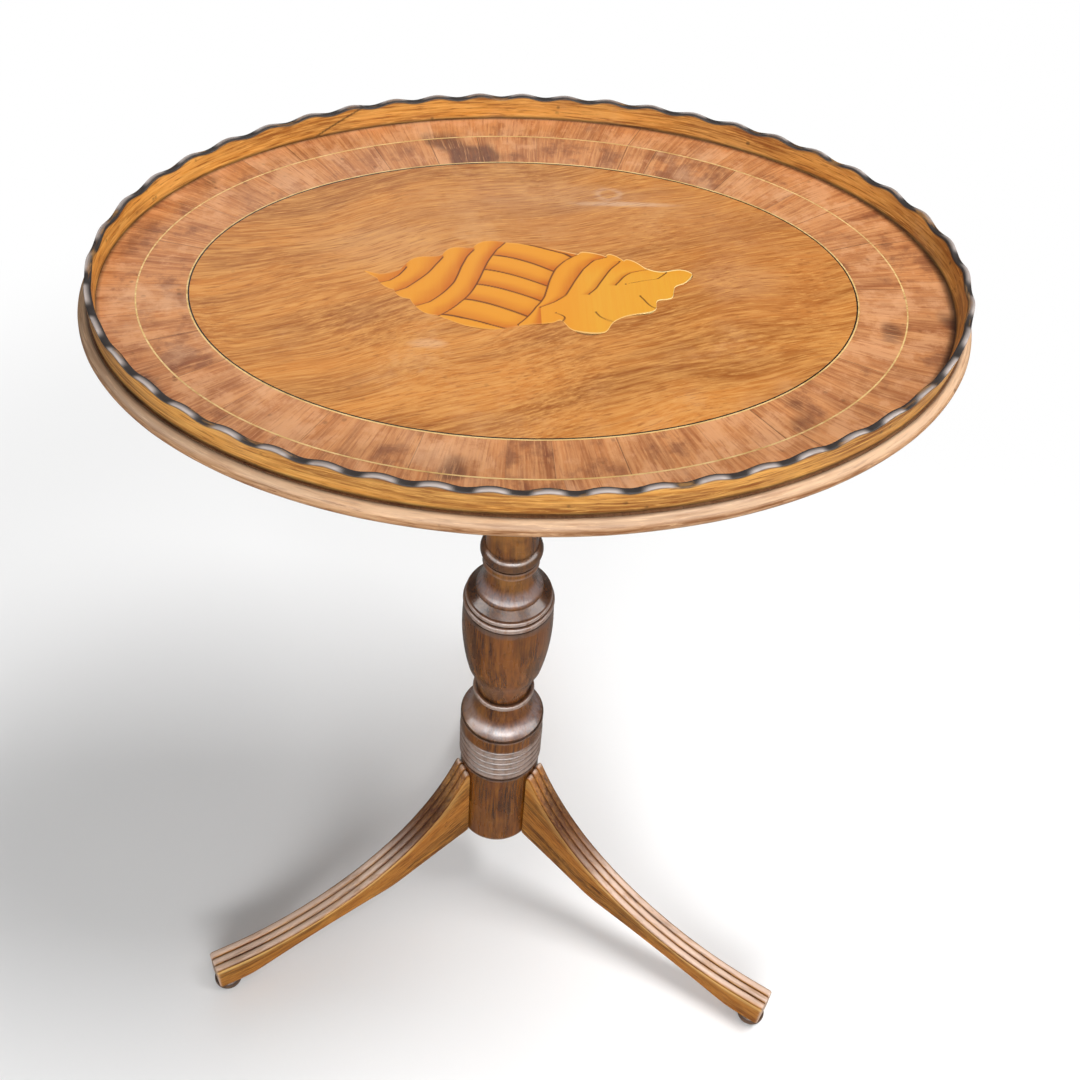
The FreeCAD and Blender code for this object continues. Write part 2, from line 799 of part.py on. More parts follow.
def line_strip(points, width):
    """Narrow flat strip along a smooth line."""
    rails = []
    for sign in (-1, 1):
        shifted = []
        for index, point in enumerate(points):
            ahead = points[min(index + 1, len(points) - 1)]
            behind = points[max(index - 1, 0)]
            along = (ahead - behind).normalize()
            shifted.append(point + Vector(-along.y, along.x, 0) * (sign * width / 2))
        curve = Part.BSplineCurve()
        curve.interpolate(Points=shifted)
        rails.append(curve.toShape())
    return Part.makeRuledSurface(rails[0], rails[1])


def share_on(line, share):
    """Point a share of the way along a line of share points."""
    curve = Part.BSplineCurve()
    curve.interpolate(Points=[Vector(x, y, 0) for x, y in line])
    point = curve.toShape().discretize(Number=101)[round(share * 100)]
    return (point.x, point.y)


def shell_faces(level):
    """Outline of the inlaid shell and the flat pieces it is sawn into."""
    corners = [inlay_point(share, level) for share in SHELL_OUTLINE_SHARES]
    outline = Part.Face(Part.Wire(closed_curve(corners)))
    lines = list(WHORL_LINE_SHARES) + [BODY_LEFT_SHARES, BODY_RIGHT_SHARES] + list(LIP_LINE_SHARES)
    for share in RIB_SHARES:
        left = share_on(BODY_LEFT_SHARES, share)
        right = share_on(BODY_RIGHT_SHARES, share)
        middle = ((left[0] + right[0]) / 2, (left[1] + right[1]) / 2 + RIB_SAG_SHARE)
        lines.append((left, middle, right))
    width = value("line_width")
    strips = [line_strip([inlay_point(share, level) for share in line], width) for line in lines]
    return outline, outline.cut(strips)


node(shaped("bead", bead_shape()), "edge_bead")
node(shaped("gallery_wall_piece", gallery_shape()), "gallery")

# Veneers, flush with each other on the board.
shell_outline, shell_pieces = shell_faces(value(VENEER_LOW))
thickness = UP * value("veneer")
shell_solids = [face.extrude(thickness) for face in shell_pieces.Faces]
node(shaped("shell", Part.makeCompound(shell_solids)), "shell_inlay")
shell_opening = shaped("shell_opening", shell_outline.extrude(thickness))

STEPS = {
    "outer_string": "0",
    "inner_crossband": "outer_boxwood",
    "inner_string_box": "outer_boxwood + inner_band",
    "inner_string_ebony": "outer_boxwood + inner_band + boxwood_width",
    "field": "outer_boxwood + inner_band + boxwood_width + ebony_width",
}
ovals = {
    name: oval(
        name + "_oval",
        "%s - outer_band - (%s)" % (GALLERY_MAJOR, step),
        "%s - outer_band_side - (%s)" % (GALLERY_MINOR, step),
        VENEER_LOW,
        "veneer",
    )
    for name, step in STEPS.items()
}
outer_oval = oval("outer_crossband_oval", "board_major", "board_minor", VENEER_LOW, "veneer", "rim_shift")
joints = []
for step in range(int(value("band_pieces"))):
    saw = box("joint_%d" % step, "joint_gap", "board_major + rim_shift + overrun", "veneer", z=VENEER_LOW)
    saw.Placement.Rotation = Rotation(UP, 360 * step / value("band_pieces"))
    joints.append(saw)
all_joints = grouped("band_joints", *joints)
node(cut("field", ovals["field"], shell_opening), "field_veneer")
node(cut("ebony", ovals["inner_string_ebony"], ovals["field"]), "inner_string_ebony")
node(cut("boxwood", ovals["inner_string_box"], ovals["inner_string_ebony"]), "inner_string_box")
node(cut("inner_band", ovals["inner_crossband"], ovals["inner_string_box"], all_joints), "inner_crossband")
node(cut("outer_line", ovals["outer_string"], ovals["inner_crossband"]), "outer_string")
node(cut("outer_band", outer_oval, ovals["outer_string"], all_joints), "outer_crossband")

doc.recompute()
os.makedirs("parts", exist_ok=True)
for item in NODES:
    if "Invalid" in item.State or "Error" in item.State:
        raise ValueError("%s could not be worked out: %s" % (item.Label, item.State))
    if item.Shape.isNull() or not item.Shape.isValid() or not item.Shape.Solids:
        raise ValueError("%s has no sound solid" % item.Label)
    item.Shape.exportStep("parts/%s.step" % item.Label)
    print("%s: %d solids, %.1f cm3" % (item.Label, len(item.Shape.Solids), item.Shape.Volume / 1000))
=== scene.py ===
import logging
from dataclasses import dataclass, field
from enum import Enum

import bpy
import numpy as np
from mathutils import Matrix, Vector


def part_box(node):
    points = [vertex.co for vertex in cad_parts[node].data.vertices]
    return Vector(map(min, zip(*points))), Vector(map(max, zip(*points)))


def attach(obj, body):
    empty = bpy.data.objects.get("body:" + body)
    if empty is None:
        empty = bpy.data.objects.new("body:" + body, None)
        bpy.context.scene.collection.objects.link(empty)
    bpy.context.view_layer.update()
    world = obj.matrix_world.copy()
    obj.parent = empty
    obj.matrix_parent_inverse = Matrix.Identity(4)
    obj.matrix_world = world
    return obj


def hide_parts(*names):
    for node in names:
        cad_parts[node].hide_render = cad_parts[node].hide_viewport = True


MM = 0.001
TAU = 2.0 * np.pi
LOG = logging.getLogger("tea_table")
FOOT_INSET = 10.0 * MM
SHARP_ANGLE = np.radians(38.0)
WHITE = (1.0, 1.0, 1.0, 1.0)
Socket = bpy.types.NodeSocket
Feed = Socket | float | tuple[float, ...]
Path = tuple[tuple[float, float], ...]
Finishes = dict[str, bpy.types.Material]

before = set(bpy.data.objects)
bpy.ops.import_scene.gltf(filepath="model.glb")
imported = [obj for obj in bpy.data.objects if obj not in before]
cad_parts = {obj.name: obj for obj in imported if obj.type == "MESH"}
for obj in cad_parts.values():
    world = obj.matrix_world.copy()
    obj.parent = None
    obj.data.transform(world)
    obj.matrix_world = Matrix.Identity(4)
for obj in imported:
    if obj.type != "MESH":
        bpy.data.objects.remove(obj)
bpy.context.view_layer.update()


def hex_colour(code: str) -> tuple[float, float, float, float]:
    """Turn a screen colour into the linear colour that shaders take.

    Args:
        code: Six hexadecimal digits, two for each of red, green and blue.

    Returns:
        Red, green, blue and an opaque alpha, in linear light.
    """
    screen = np.array([int(code[k:k + 2], 16) for k in (0, 2, 4)]) / 255.0
    linear = np.where(screen <= 0.04045, screen / 12.92, ((screen + 0.055) / 1.055) ** 2.4)
    return (*linear.tolist(), 1.0)


def smooth(low: float, high: float, value: np.ndarray) -> np.ndarray:
    """Rise smoothly from 0 at low to 1 at high, which may be the smaller of the two."""
    share = np.clip((value - low) / (high - low), 0.0, 1.0)
    return share * share * (3.0 - 2.0 * share)


def vectors(*parts: np.ndarray) -> np.ndarray:
    """Spread three arrays to one shape and join them as vectors."""
    return np.stack(np.broadcast_arrays(*parts), axis=-1)


def add_object(name: str, data: bpy.types.ID) -> bpy.types.Object:
    """Put new data into the scene as an object at the origin.

    Args:
        name: Name of the object.
        data: Its mesh, light or camera.

    Returns:
        The new object.
    """
    item = bpy.data.objects.new(name, data)
    bpy.context.scene.collection.objects.link(item)
    return item


class Flow(Enum):
    """Which way the grain runs: by the piece's own grain attribute, or along X turned about Z by an angle."""

    SURFACE = None
    PLANK_X = 0.0
    PLANK_Y = -np.pi / 2
    SLANT = -0.3


class NodeBook:
    """Small helper that adds shader nodes to one tree and links them."""

    def __init__(self, tree: bpy.types.NodeTree) -> None:
        """Keep the tree that the nodes go into."""
        self.tree = tree

    def add(self, kind: str, settings: dict[str, object] | None = None, **inputs: Feed) -> bpy.types.Node:
        """Add one node with its settings and inputs.

        Args:
            kind: Blender's name of the node type.
            settings: Plain properties of the node.
            inputs: Input sockets, as put takes them.

        Returns:
            The new node.
        """
        node = self.tree.nodes.new(kind)
        for name, value in (settings or {}).items():
            setattr(node, name, value)
        return self.put(node, **inputs)

    def put(self, node: bpy.types.Node, **inputs: Feed) -> bpy.types.Node:
        """Feed a node's inputs.

        Args:
            node: The node.
            inputs: Values by socket name with underscores for spaces, or by an underscore and the socket's number.

        Returns:
            The same node.
        """
        for name, value in inputs.items():
            key = int(name[1:]) if name[0] == "_" else name.replace("_", " ")
            self.feed(node.inputs[key], value)
        return node

    def feed(self, socket: Socket, value: Feed) -> None:
        """Link a socket to another, or set its value.

        Args:
            socket: Input to feed.
            value: Output to link it to, or a plain value.
        """
        if isinstance(value, Socket):
            self.tree.links.new(value, socket)
        else:
            socket.default_value = value

    def fill(self, node: bpy.types.Node, *values: Feed) -> Socket:
        """Feed a node's first inputs in their order.

        Args:
            node: The node.
            values: Values or sockets for its inputs.

        Returns:
            The node's first output.
        """
        for socket, value in zip(node.inputs, values):
            self.feed(socket, value)
        return node.outputs[0]

    def math(self, operation: str, *values: Feed) -> Socket:
        """Add a Math node and return its result."""
        return self.fill(self.add("ShaderNodeMath", {"operation": operation}), *values)

    def times(self, first: Feed, second: Feed) -> Socket:
        """Multiply two values."""
        return self.math("MULTIPLY", first, second)

    def mix(self, share: Feed, first: Feed, second: Feed) -> Socket:
        """Add a colour Mix node and return its result."""
        return self.add("ShaderNodeMix", {"data_type": "RGBA"}, _0=share, _6=first, _7=second).outputs[2]

    def tint(self, colour: Feed, share: Feed, code: str) -> Socket:
        """Mix a share of a screen colour into a colour."""
        return self.mix(share, colour, hex_colour(code))

    def span(self, value: Feed, low: float, high: float, start: float = 0.0, end: float = 1.0) -> Socket:
        """Add a smooth Map Range node, from start at low to end at high, and return its result."""
        node = self.add("ShaderNodeMapRange", {"interpolation_type": "SMOOTHSTEP"})
        return self.fill(node, value, low, high, start, end)

    def noise(self, vector: Socket, scale: float, detail: float = 3.0, rough: float = 0.5) -> Socket:
        """Add a Noise Texture and return its value."""
        node = self.add("ShaderNodeTexNoise", Vector=vector, Scale=scale, Detail=detail, Roughness=rough)
        return node.outputs["Fac"]

    def stretch(self, vector: Socket, scale: tuple[float, float, float]) -> Socket:
        """Add a Mapping node that scales a vector and return the result."""
        return self.add("ShaderNodeMapping", Vector=vector, Scale=scale).outputs[0]

    def attribute(self, name: str, output: str = "Fac") -> Socket:
        """Read one of the piece's own attributes."""
        return self.add("ShaderNodeAttribute", {"attribute_name": name}).outputs[output]

    def place(self) -> Socket:
        """Read the object's own coordinates."""
        return self.add("ShaderNodeTexCoord").outputs["Object"]


def new_material(name: str) -> tuple[bpy.types.Material, NodeBook, bpy.types.Node]:
    """Start a material.

    Args:
        name: Name of the material.

    Returns:
        The material, its node book and its Principled shader.
    """
    material = bpy.data.materials.new(name)
    material.use_nodes = True
    return material, NodeBook(material.node_tree), material.node_tree.nodes["Principled BSDF"]


def new_group(
    name: str, inputs: dict[str, str], outputs: dict[str, str]
) -> tuple[NodeBook, dict[str, Socket], dict[str, Socket]]:
    """Start a shader node group with named sockets.

    Args:
        name: Name of the group.
        inputs: Socket kind by input name.
        outputs: Socket kind by output name.

    Returns:
        The group's node book, its input sockets by name and its output sockets by name.
    """
    tree = bpy.data.node_groups.new(name, "ShaderNodeTree")
    for label, kind in inputs.items():
        tree.interface.new_socket(label, in_out="INPUT", socket_type="NodeSocket" + kind)
    for label, kind in outputs.items():
        tree.interface.new_socket(label, in_out="OUTPUT", socket_type="NodeSocket" + kind)
    book = NodeBook(tree)
    source = book.add("NodeGroupInput")
    drain = book.add("NodeGroupOutput")
    return book, {key: source.outputs[key] for key in inputs}, {key: drain.inputs[key] for key in outputs}


class Effects:
    """Shader node groups that several finishes share."""

    def __init__(self) -> None:
        """Build every shared group once."""
        self.grain = self.build_grain()
        self.patina = self.build_patina()

    def grain_on(self, book: NodeBook, vector: Socket, broad: float, fine: float, sway: float) -> bpy.types.NodeOutputs:
        """Add the grain group to a material.

        Args:
            book: Node book of the material.
            vector: Vector whose first axis runs along the grain.
            broad: Scale of the broad figure.
            fine: Scale of the streaks.
            sway: How far the grain wanders sideways, in metres.

        Returns:
            The group's outputs.
        """
        settings = {"node_tree": self.grain}
        sideways = (0.0, sway, sway)
        return book.add("ShaderNodeGroup", settings, Vector=vector, Broad=broad, Fine=fine, Sway=sideways).outputs

    def patina_on(self, book: NodeBook, vector: Socket) -> bpy.types.NodeOutputs:
        """Add the patina group to a material and return its outputs."""
        return book.add("ShaderNodeGroup", {"node_tree": self.patina}, Vector=vector).outputs

    @staticmethod
    def build_grain() -> bpy.types.NodeTree:
        """Wood grain that runs along the vector's first axis.

        Broad figure is a warped noise drawn out along the grain, streaks are a finer one, and pores are short
        dark dashes where a very fine drawn-out noise passes a limit. Flecks are the light dashes of the same noise.

        Returns:
            The node group.
        """
        book, take, give = new_group(
            "wood_grain",
            {"Vector": "Vector", "Broad": "Float", "Fine": "Float", "Sway": "Vector"},
            {"Figure": "Float", "Streak": "Float", "Pore": "Float", "Fleck": "Float"},
        )
        sway = book.add("ShaderNodeTexNoise", Vector=take["Vector"], Scale=6.5, Detail=1.0)
        shift = book.add(
            "ShaderNodeVectorMath",
            {"operation": "MULTIPLY_ADD"},
            _0=sway.outputs["Color"],
            _1=take["Sway"],
            _2=take["Vector"],
        )
        drawn = book.stretch(shift.outputs[0], (0.16, 1.0, 1.0))
        figure = book.add("ShaderNodeTexNoise", Vector=drawn, Scale=take["Broad"], Detail=4.0, Roughness=0.6)
        long_lines = book.stretch(shift.outputs[0], (0.035, 1.0, 1.0))
        streak = book.add("ShaderNodeTexNoise", Vector=long_lines, Scale=take["Fine"], Detail=5.0, Roughness=0.65)
        dashes = book.stretch(shift.outputs[0], (0.08, 1.0, 1.0))
        pore = book.noise(dashes, scale=760.0, detail=4.0, rough=0.6)
        for name, value, low, high in (
            ("Figure", figure.outputs["Fac"], 0.34, 0.66),
            ("Streak", streak.outputs["Fac"], 0.34, 0.66),
            ("Pore", pore, 0.52, 0.68),
            ("Fleck", pore, 0.47, 0.32),
        ):
            book.feed(give[name], book.span(value, low, high))
        return book.tree

    @staticmethod
    def build_patina() -> bpy.types.NodeTree:
        """Age marks: pale rubbed patches, dark specks and fine scratches.

        Returns:
            The node group.
        """
        book, take, give = new_group(
            "patina", {"Vector": "Vector"}, {"Pale": "Float", "Speck": "Float", "Scratch": "Float", "Cloud": "Float"}
        )
        cloud = book.noise(take["Vector"], scale=11.0, rough=0.55)
        rub_and_highlight = book.noise(take["Vector"], scale=32.0, detail=6.0, rough=0.7)
        pale = book.times(book.span(cloud, 0.48, 0.68), book.span(rub_and_highlight, 0.42, 0.66))
        spots = book.add("ShaderNodeTexVoronoi", Vector=take["Vector"], Scale=130.0, Randomness=1.0)
        chosen = book.span(book.noise(take["Vector"], scale=45.0, detail=2.0), 0.56, 0.66)
        speck = book.times(book.span(spots.outputs["Distance"], 0.26, 0.1), chosen)
        turned = book.add("ShaderNodeMapping", Vector=take["Vector"], Rotation=(0.0, 0.0, 0.6), Scale=(0.05, 1.0, 1.0))
        scratch = book.span(book.noise(turned.outputs[0], scale=700.0, detail=1.0), 0.68, 0.74)
        for name, result in {"Pale": pale, "Speck": speck, "Scratch": scratch, "Cloud": cloud}.items():
            book.feed(give[name], result)
        return book.tree


@dataclass(frozen=True)
class Stain:
    """Soft mark on a polished surface, paler or darker than the wood: an oval patch, or a ring where it is hollow."""

    centre: tuple[float, float]
    half: tuple[float, float]
    strength: float
    colour: str = "d9bd9c"
    hollow: float = 0.0

    def mask(self, book: NodeBook, vector: Socket) -> Socket:
        """Share of the mark's colour at each place.

        The distance from the centre, as a share of the half sizes, fades out at one, and a hollow mark also fades
        towards its middle. A noise breaks the edge.

        Args:
            book: Node book of the material.
            vector: Place on the surface.

        Returns:
            The mask's socket.
        """
        spread = book.add(
            "ShaderNodeMapping",
            Vector=vector,
            Location=(-self.centre[0] / self.half[0], -self.centre[1] / self.half[1], 0.0),
            Scale=(1.0 / self.half[0], 1.0 / self.half[1], 0.0),
        )
        distance = book.add("ShaderNodeVectorMath", {"operation": "LENGTH"}, _0=spread.outputs[0]).outputs["Value"]
        rough = book.noise(book.stretch(vector, (0.5, 1.0, 1.0)), scale=60.0, detail=5.0, rough=0.65)
        distance = book.math("ADD", distance, book.times(rough, 0.9))
        mask = book.span(distance, 1.4, 0.7)
        if self.hollow:
            mask = book.times(mask, book.span(distance, self.hollow, self.hollow + 0.35))
        return book.times(mask, self.strength)


@dataclass(frozen=True)
class WoodFinish:
    """One wood with its polish, its wear and dirt, and its painted highlights and shade."""

    name: str
    deep: str
    body: str
    light: str
    flow: Flow
    broad: float = 38.0
    fine: float = 330.0
    sway: float = 0.012
    pale: float = 0.3
    pale_colour: str = "d2a67c"
    speck: float = 0.5
    wear_and_light_colour: str = "8a7466"
    wear_and_painted_light: float = 0.85
    highlight_colour: str = "c3b1a5"
    dirt_and_shade_colour: str = "20120a"
    rough: tuple[float, float] = (0.3, 0.5)
    coat: float = 0.12
    coat_rough: float = 0.22
    shine: float = 0.25
    bump: float = 0.12
    bump_depth: float = 0.4 * MM
    streak: float = 0.6
    fleck: float = 0.55
    dirt_and_painted_shade: float = 0.85
    pieces: bool = False
    stains: tuple["Stain", ...] = ()

    def grain_vector(self, book: NodeBook) -> Socket:
        """Vector whose first axis runs along the grain.

        Args:
            book: Node book of the material.

        Returns:
            The vector's socket.
        """
        if self.flow is Flow.SURFACE:
            return book.attribute("grain", "Vector")
        turn = (0.0, 0.0, self.flow.value)
        return book.add("ShaderNodeMapping", Vector=book.place(), Rotation=turn).outputs[0]

    def build(self, effects: Effects) -> bpy.types.Material:
        """Make the material.

        Args:
            effects: The shared node groups.

        Returns:
            The finished material.
        """
        material, book, shader = new_material(self.name)
        vector = self.grain_vector(book)
        grain = effects.grain_on(book, vector, self.broad, self.fine, self.sway)
        patina = effects.patina_on(book, vector)
        colour = book.mix(grain["Figure"], hex_colour(self.deep), hex_colour(self.body))
        colour = book.tint(colour, book.times(grain["Streak"], self.streak), self.light)
        if self.pieces:
            colour = self.tone_by_piece(book, colour)
        for stain in self.stains:
            colour = book.tint(colour, stain.mask(book, book.place()), stain.colour)
        broken = book.noise(book.stretch(vector, (0.12, 1.0, 1.0)), scale=210.0, detail=4.0, rough=0.6)
        patchy = book.math("MULTIPLY_ADD", book.span(broken, 0.3, 0.55), 0.5, 0.5)
        # The wear attribute holds wear plus painted highlight and shade, rub holds painted highlight, dirt holds dirt
        # plus painted shade.
        wear_and_light_share = book.times(book.times(book.attribute("wear_and_painted_light"), self.wear_and_painted_light), patchy)
        for share, code in (
            (book.times(grain["Pore"], self.fleck), self.deep),
            (book.times(grain["Fleck"], self.fleck), self.light),
            (book.times(patina["Pale"], self.pale), self.pale_colour),
            (book.times(patina["Speck"], self.speck), self.dirt_and_shade_colour),
            (wear_and_light_share, self.wear_and_light_colour),
            (book.times(book.attribute("rub_and_highlight"), patchy), self.highlight_colour),
            (book.times(book.attribute("dirt_and_painted_shade"), self.dirt_and_painted_shade), self.dirt_and_shade_colour),
        ):
            colour = book.tint(colour, share, code)
        dull = book.math("ADD", book.times(patina["Cloud"], 0.6), book.times(wear_and_light_share, 0.5))
        dull = book.math("ADD", dull, book.times(grain["Figure"], 0.15))
        height = book.math("SUBTRACT", book.times(grain["Streak"], 0.4), grain["Pore"])
        height = book.math("SUBTRACT", height, book.times(patina["Scratch"], 0.6))
        bump = book.add("ShaderNodeBump", Strength=self.bump, Distance=self.bump_depth, Height=height)
        book.put(
            shader,
            Base_Color=colour,
            Roughness=book.span(dull, 0.1, 0.8, *self.rough),
            Normal=bump.outputs["Normal"],
            Coat_Weight=self.coat,
            Coat_Roughness=self.coat_rough,
            Specular_IOR_Level=self.shine,
        )
        return material

    def tone_by_piece(self, book: NodeBook, colour: Socket) -> Socket:
        """Tint each veneer length by itself, mottle it and darken the joints between the lengths.

        Args:
            book: Node book of the material.
            colour: Colour before the tint.

        Returns:
            The tinted colour's socket.
        """
        place = book.place()
        mottle = book.noise(place, scale=48.0, detail=6.0, rough=0.66)
        tone = book.math("MULTIPLY_ADD", book.attribute("tone"), 0.22, mottle)
        knots = book.span(book.noise(place, scale=17.0, detail=2.0), 0.64, 0.72)
        line = book.span(book.attribute("seam"), 0.5 * MM, 0.2 * MM)
        for share, code in (
            (book.span(tone, 0.6, 0.78, 0.0, 0.65), "6b3b29"),
            (book.span(tone, 0.58, 0.44, 0.0, 0.6), "cf986c"),
            (book.times(knots, 0.75), "4c2a20"),
            (book.times(line, 0.6), self.dirt_and_shade_colour),
        ):
            colour = book.tint(colour, share, code)
        return colour


@dataclass(frozen=True)
class ShellFinish:
    """Sand-shaded inlay whose burn and joint lines come from the piece's own attributes."""

    name: str
    honey: str = "d08920"
    lip: str = "d0942b"
    burnt: str = "b4590a"
    scorched: str = "582706"
    edging: str = "ecd394"
    streak: str = "cf8220"
    broad: float = 60.0
    fine: float = 520.0
    sway: float = 0.004
    rough: tuple[float, float] = (0.3, 0.42)
    coat: float = 0.12
    coat_rough: float = 0.22
    shine: float = 0.25

    def build(self, effects: Effects) -> bpy.types.Material:
        """Make the material.

        Args:
            effects: The shared node groups.

        Returns:
            The finished material.
        """
        material, book, shader = new_material(self.name)
        grain = effects.grain_on(book, book.attribute("grain", "Vector"), self.broad, self.fine, self.sway)
        burn = book.times(book.attribute("burn"), book.span(grain["Figure"], 0.0, 1.0, 0.7, 1.0))
        colour = book.mix(book.attribute("lip"), hex_colour(self.honey), hex_colour(self.lip))
        for share, code in (
            (book.times(grain["Streak"], 0.3), self.streak),
            (burn, self.burnt),
            (book.attribute("edging"), self.edging),
            (book.attribute("line"), self.scorched),
        ):
            colour = book.tint(colour, share, code)
        book.put(
            shader,
            Base_Color=colour,
            Roughness=book.span(grain["Streak"], 0.0, 1.0, *self.rough),
            Coat_Weight=self.coat,
            Coat_Roughness=self.coat_rough,
            Specular_IOR_Level=self.shine,
        )
        return material


@dataclass(frozen=True)
class MetalFinish:
    """Aged brass or steel with tarnish in patches."""

    name: str
    bright: str
    tarnish: str
    speck: str = "1c140c"
    rough: tuple[float, float] = (0.28, 0.55)
    bump: float = 0.1
    bump_depth: float = 0.3 * MM

    def build(self, effects: Effects) -> bpy.types.Material:
        """Make the material.

        Args:
            effects: The shared node groups.

        Returns:
            The finished material.
        """
        material, book, shader = new_material(self.name)
        vector = book.place()
        patina = effects.patina_on(book, vector)
        cover = book.span(book.noise(vector, scale=140.0, detail=5.0, rough=0.65), 0.38, 0.62)
        colour = book.mix(cover, hex_colour(self.bright), hex_colour(self.tarnish))
        bump = book.add("ShaderNodeBump", Strength=self.bump, Distance=self.bump_depth, Height=patina["Scratch"])
        book.put(
            shader,
            Base_Color=book.tint(colour, book.times(patina["Speck"], 0.6), self.speck),
            Roughness=book.span(cover, 0.0, 1.0, *self.rough),
            Normal=bump.outputs["Normal"],
            Metallic=1.0,
        )
        return material


def loft(name: str, rings: np.ndarray, path_closed: bool, marks: dict[str, np.ndarray]) -> bpy.types.Object:
    """Skin a row of closed rings into one closed mesh.

    Neighbouring rings are joined by quads. A closed path joins its last ring to its first, and an open path gets
    one flat face at each end. Faces are turned outward by the sign of the enclosed volume.

    Args:
        name: Name of the piece.
        rings: Points with the shape rings, points per ring, 3, in metres.
        path_closed: Whether the last ring meets the first.
        marks: Values by attribute name, one number or a vector of three per point, spread over the points where
            they lack an axis.

    Returns:
        The new object, at the origin.
    """
    count, size = rings.shape[:2]
    index = np.arange(count * size).reshape(count, size)
    ahead = np.roll(index, -1, axis=0)
    quads = np.stack([index, ahead, np.roll(ahead, -1, axis=1), np.roll(index, -1, axis=1)], axis=-1)
    quads = quads if path_closed else quads[:-1]
    corners = quads.reshape(-1)
    totals = np.full(quads.shape[0] * size, 4)
    if not path_closed:
        corners = np.concatenate([corners, index[0], index[-1][::-1]])
        totals = np.concatenate([totals, [size, size]])
    points = rings.reshape(-1, 3)
    flat = quads.reshape(-1, 4)
    middle = points - points.mean(axis=0)
    volume = sum(
        np.einsum("ij,ij->i", middle[flat[:, 0]], np.cross(middle[flat[:, k]], middle[flat[:, k + 1]])).sum()
        for k in (1, 2)
    )
    starts = np.concatenate([[0], np.cumsum(totals)[:-1]])
    if volume < 0:
        order = np.repeat(starts + totals - 1, totals) - (np.arange(corners.size) - np.repeat(starts, totals))
        corners = corners[order]
    mesh = bpy.data.meshes.new(name)
    mesh.vertices.add(len(points))
    mesh.vertices.foreach_set("co", points.ravel())
    mesh.loops.add(corners.size)
    mesh.loops.foreach_set("vertex_index", corners.astype(np.int32))
    mesh.polygons.add(totals.size)
    mesh.polygons.foreach_set("loop_start", starts.astype(np.int32))
    mesh.polygons.foreach_set("use_smooth", np.ones(totals.size, dtype=bool))
    mesh.update(calc_edges=True)
    for label, values in marks.items():
        kind, key, tail = ("FLOAT_VECTOR", "vector", (3,)) if values.ndim == 3 else ("FLOAT", "value", ())
        layer = mesh.attributes.new(label, kind, "POINT")
        layer.data.foreach_set(key, np.broadcast_to(values, (count, size, *tail)).astype(np.float32).ravel())
    mesh.validate()
    mesh.set_sharp_from_angle(angle=SHARP_ANGLE)
    return add_object(name, mesh)


def arc_points(start: tuple[float, float], end: tuple[float, float], rise: float, count: int) -> np.ndarray:
    """Points on the circular arc over a chord.

    The radius is chord squared over eight rises plus half the rise, and the arc leans to the right of the travel
    for a rise above zero.

    Args:
        start: First point.
        end: Last point.
        rise: Height of the arc over its chord.
        count: Number of points, without the last.

    Returns:
        The points, without the last.
    """
    first, last = np.array(start), np.array(end)
    chord = last - first
    length = np.hypot(*chord)
    along, out = chord / length, np.array([chord[1], -chord[0]]) / length
    lift = abs(rise) + 1e-9
    radius = length ** 2 / (8.0 * lift) + lift / 2.0
    half = np.arcsin(np.clip(length / (2.0 * radius), -1.0, 1.0))
    turn = np.linspace(-half, half, count, endpoint=False)
    across = (radius * np.sin(turn) + length / 2.0)[:, None] * along
    up = (radius * np.cos(turn) - radius * np.cos(half))[:, None] * out * np.sign(rise)
    return first + across + up


def oval_ring(count: int, major: float, minor: float) -> tuple[np.ndarray, np.ndarray]:
    """Angles spaced evenly along an oval's edge, read from the summed lengths of many short chords.

    Args:
        count: Number of angles.
        major: Half of the long axis.
        minor: Half of the short axis.

    Returns:
        The eccentric angles, and the length along the edge at each.
    """
    chords_per_angle = 20
    turn = np.linspace(0.0, TAU, chords_per_angle * count + 1)
    steps = np.hypot(major * np.diff(np.cos(turn)), minor * np.diff(np.sin(turn)))
    length = np.concatenate([[0.0], np.cumsum(steps)])
    even = np.arange(count) * length[-1] / count
    return np.interp(even, length, turn), even


def oval_sweep(
    turn: np.ndarray, shift: np.ndarray, major: np.ndarray, minor: np.ndarray, height: np.ndarray
) -> np.ndarray:
    """Carry a profile round an oval.

    A point at angle t lies at (shift + major cos t, minor sin t, height), each taken for its place in the profile.

    Args:
        turn: Eccentric angle of each ring.
        shift: Centre along X of the oval through each profile point.
        major: Half of that oval's long axis.
        minor: Half of its short axis.
        height: Height of the profile's points.

    Returns:
        Points with the shape rings, points per ring, 3.
    """
    return vectors(shift + major * np.cos(turn)[:, None], minor * np.sin(turn)[:, None], height)


def turned(profile: np.ndarray, segments: int, centre: tuple[float, float] = (0.0, 0.0)) -> np.ndarray:
    """Turn a profile about an upright axis.

    A point at radius r, height z and angle t lies at (r cos t, r sin t, z), moved by the axis's place.

    Args:
        profile: Radius and height of each point.
        segments: Points round the axis.
        centre: Place of the axis.

    Returns:
        Points with the shape profile points, segments, 3.
    """
    turn = np.linspace(0.0, TAU, segments, endpoint=False)
    radius, height = profile[:, :1], profile[:, 1:]
    return vectors(centre[0] + radius * np.cos(turn), centre[1] + radius * np.sin(turn), height)


def upright_grain(points: np.ndarray) -> np.ndarray:
    """Points with their height first, so that the grain runs upright."""
    return points[..., [2, 0, 1]]


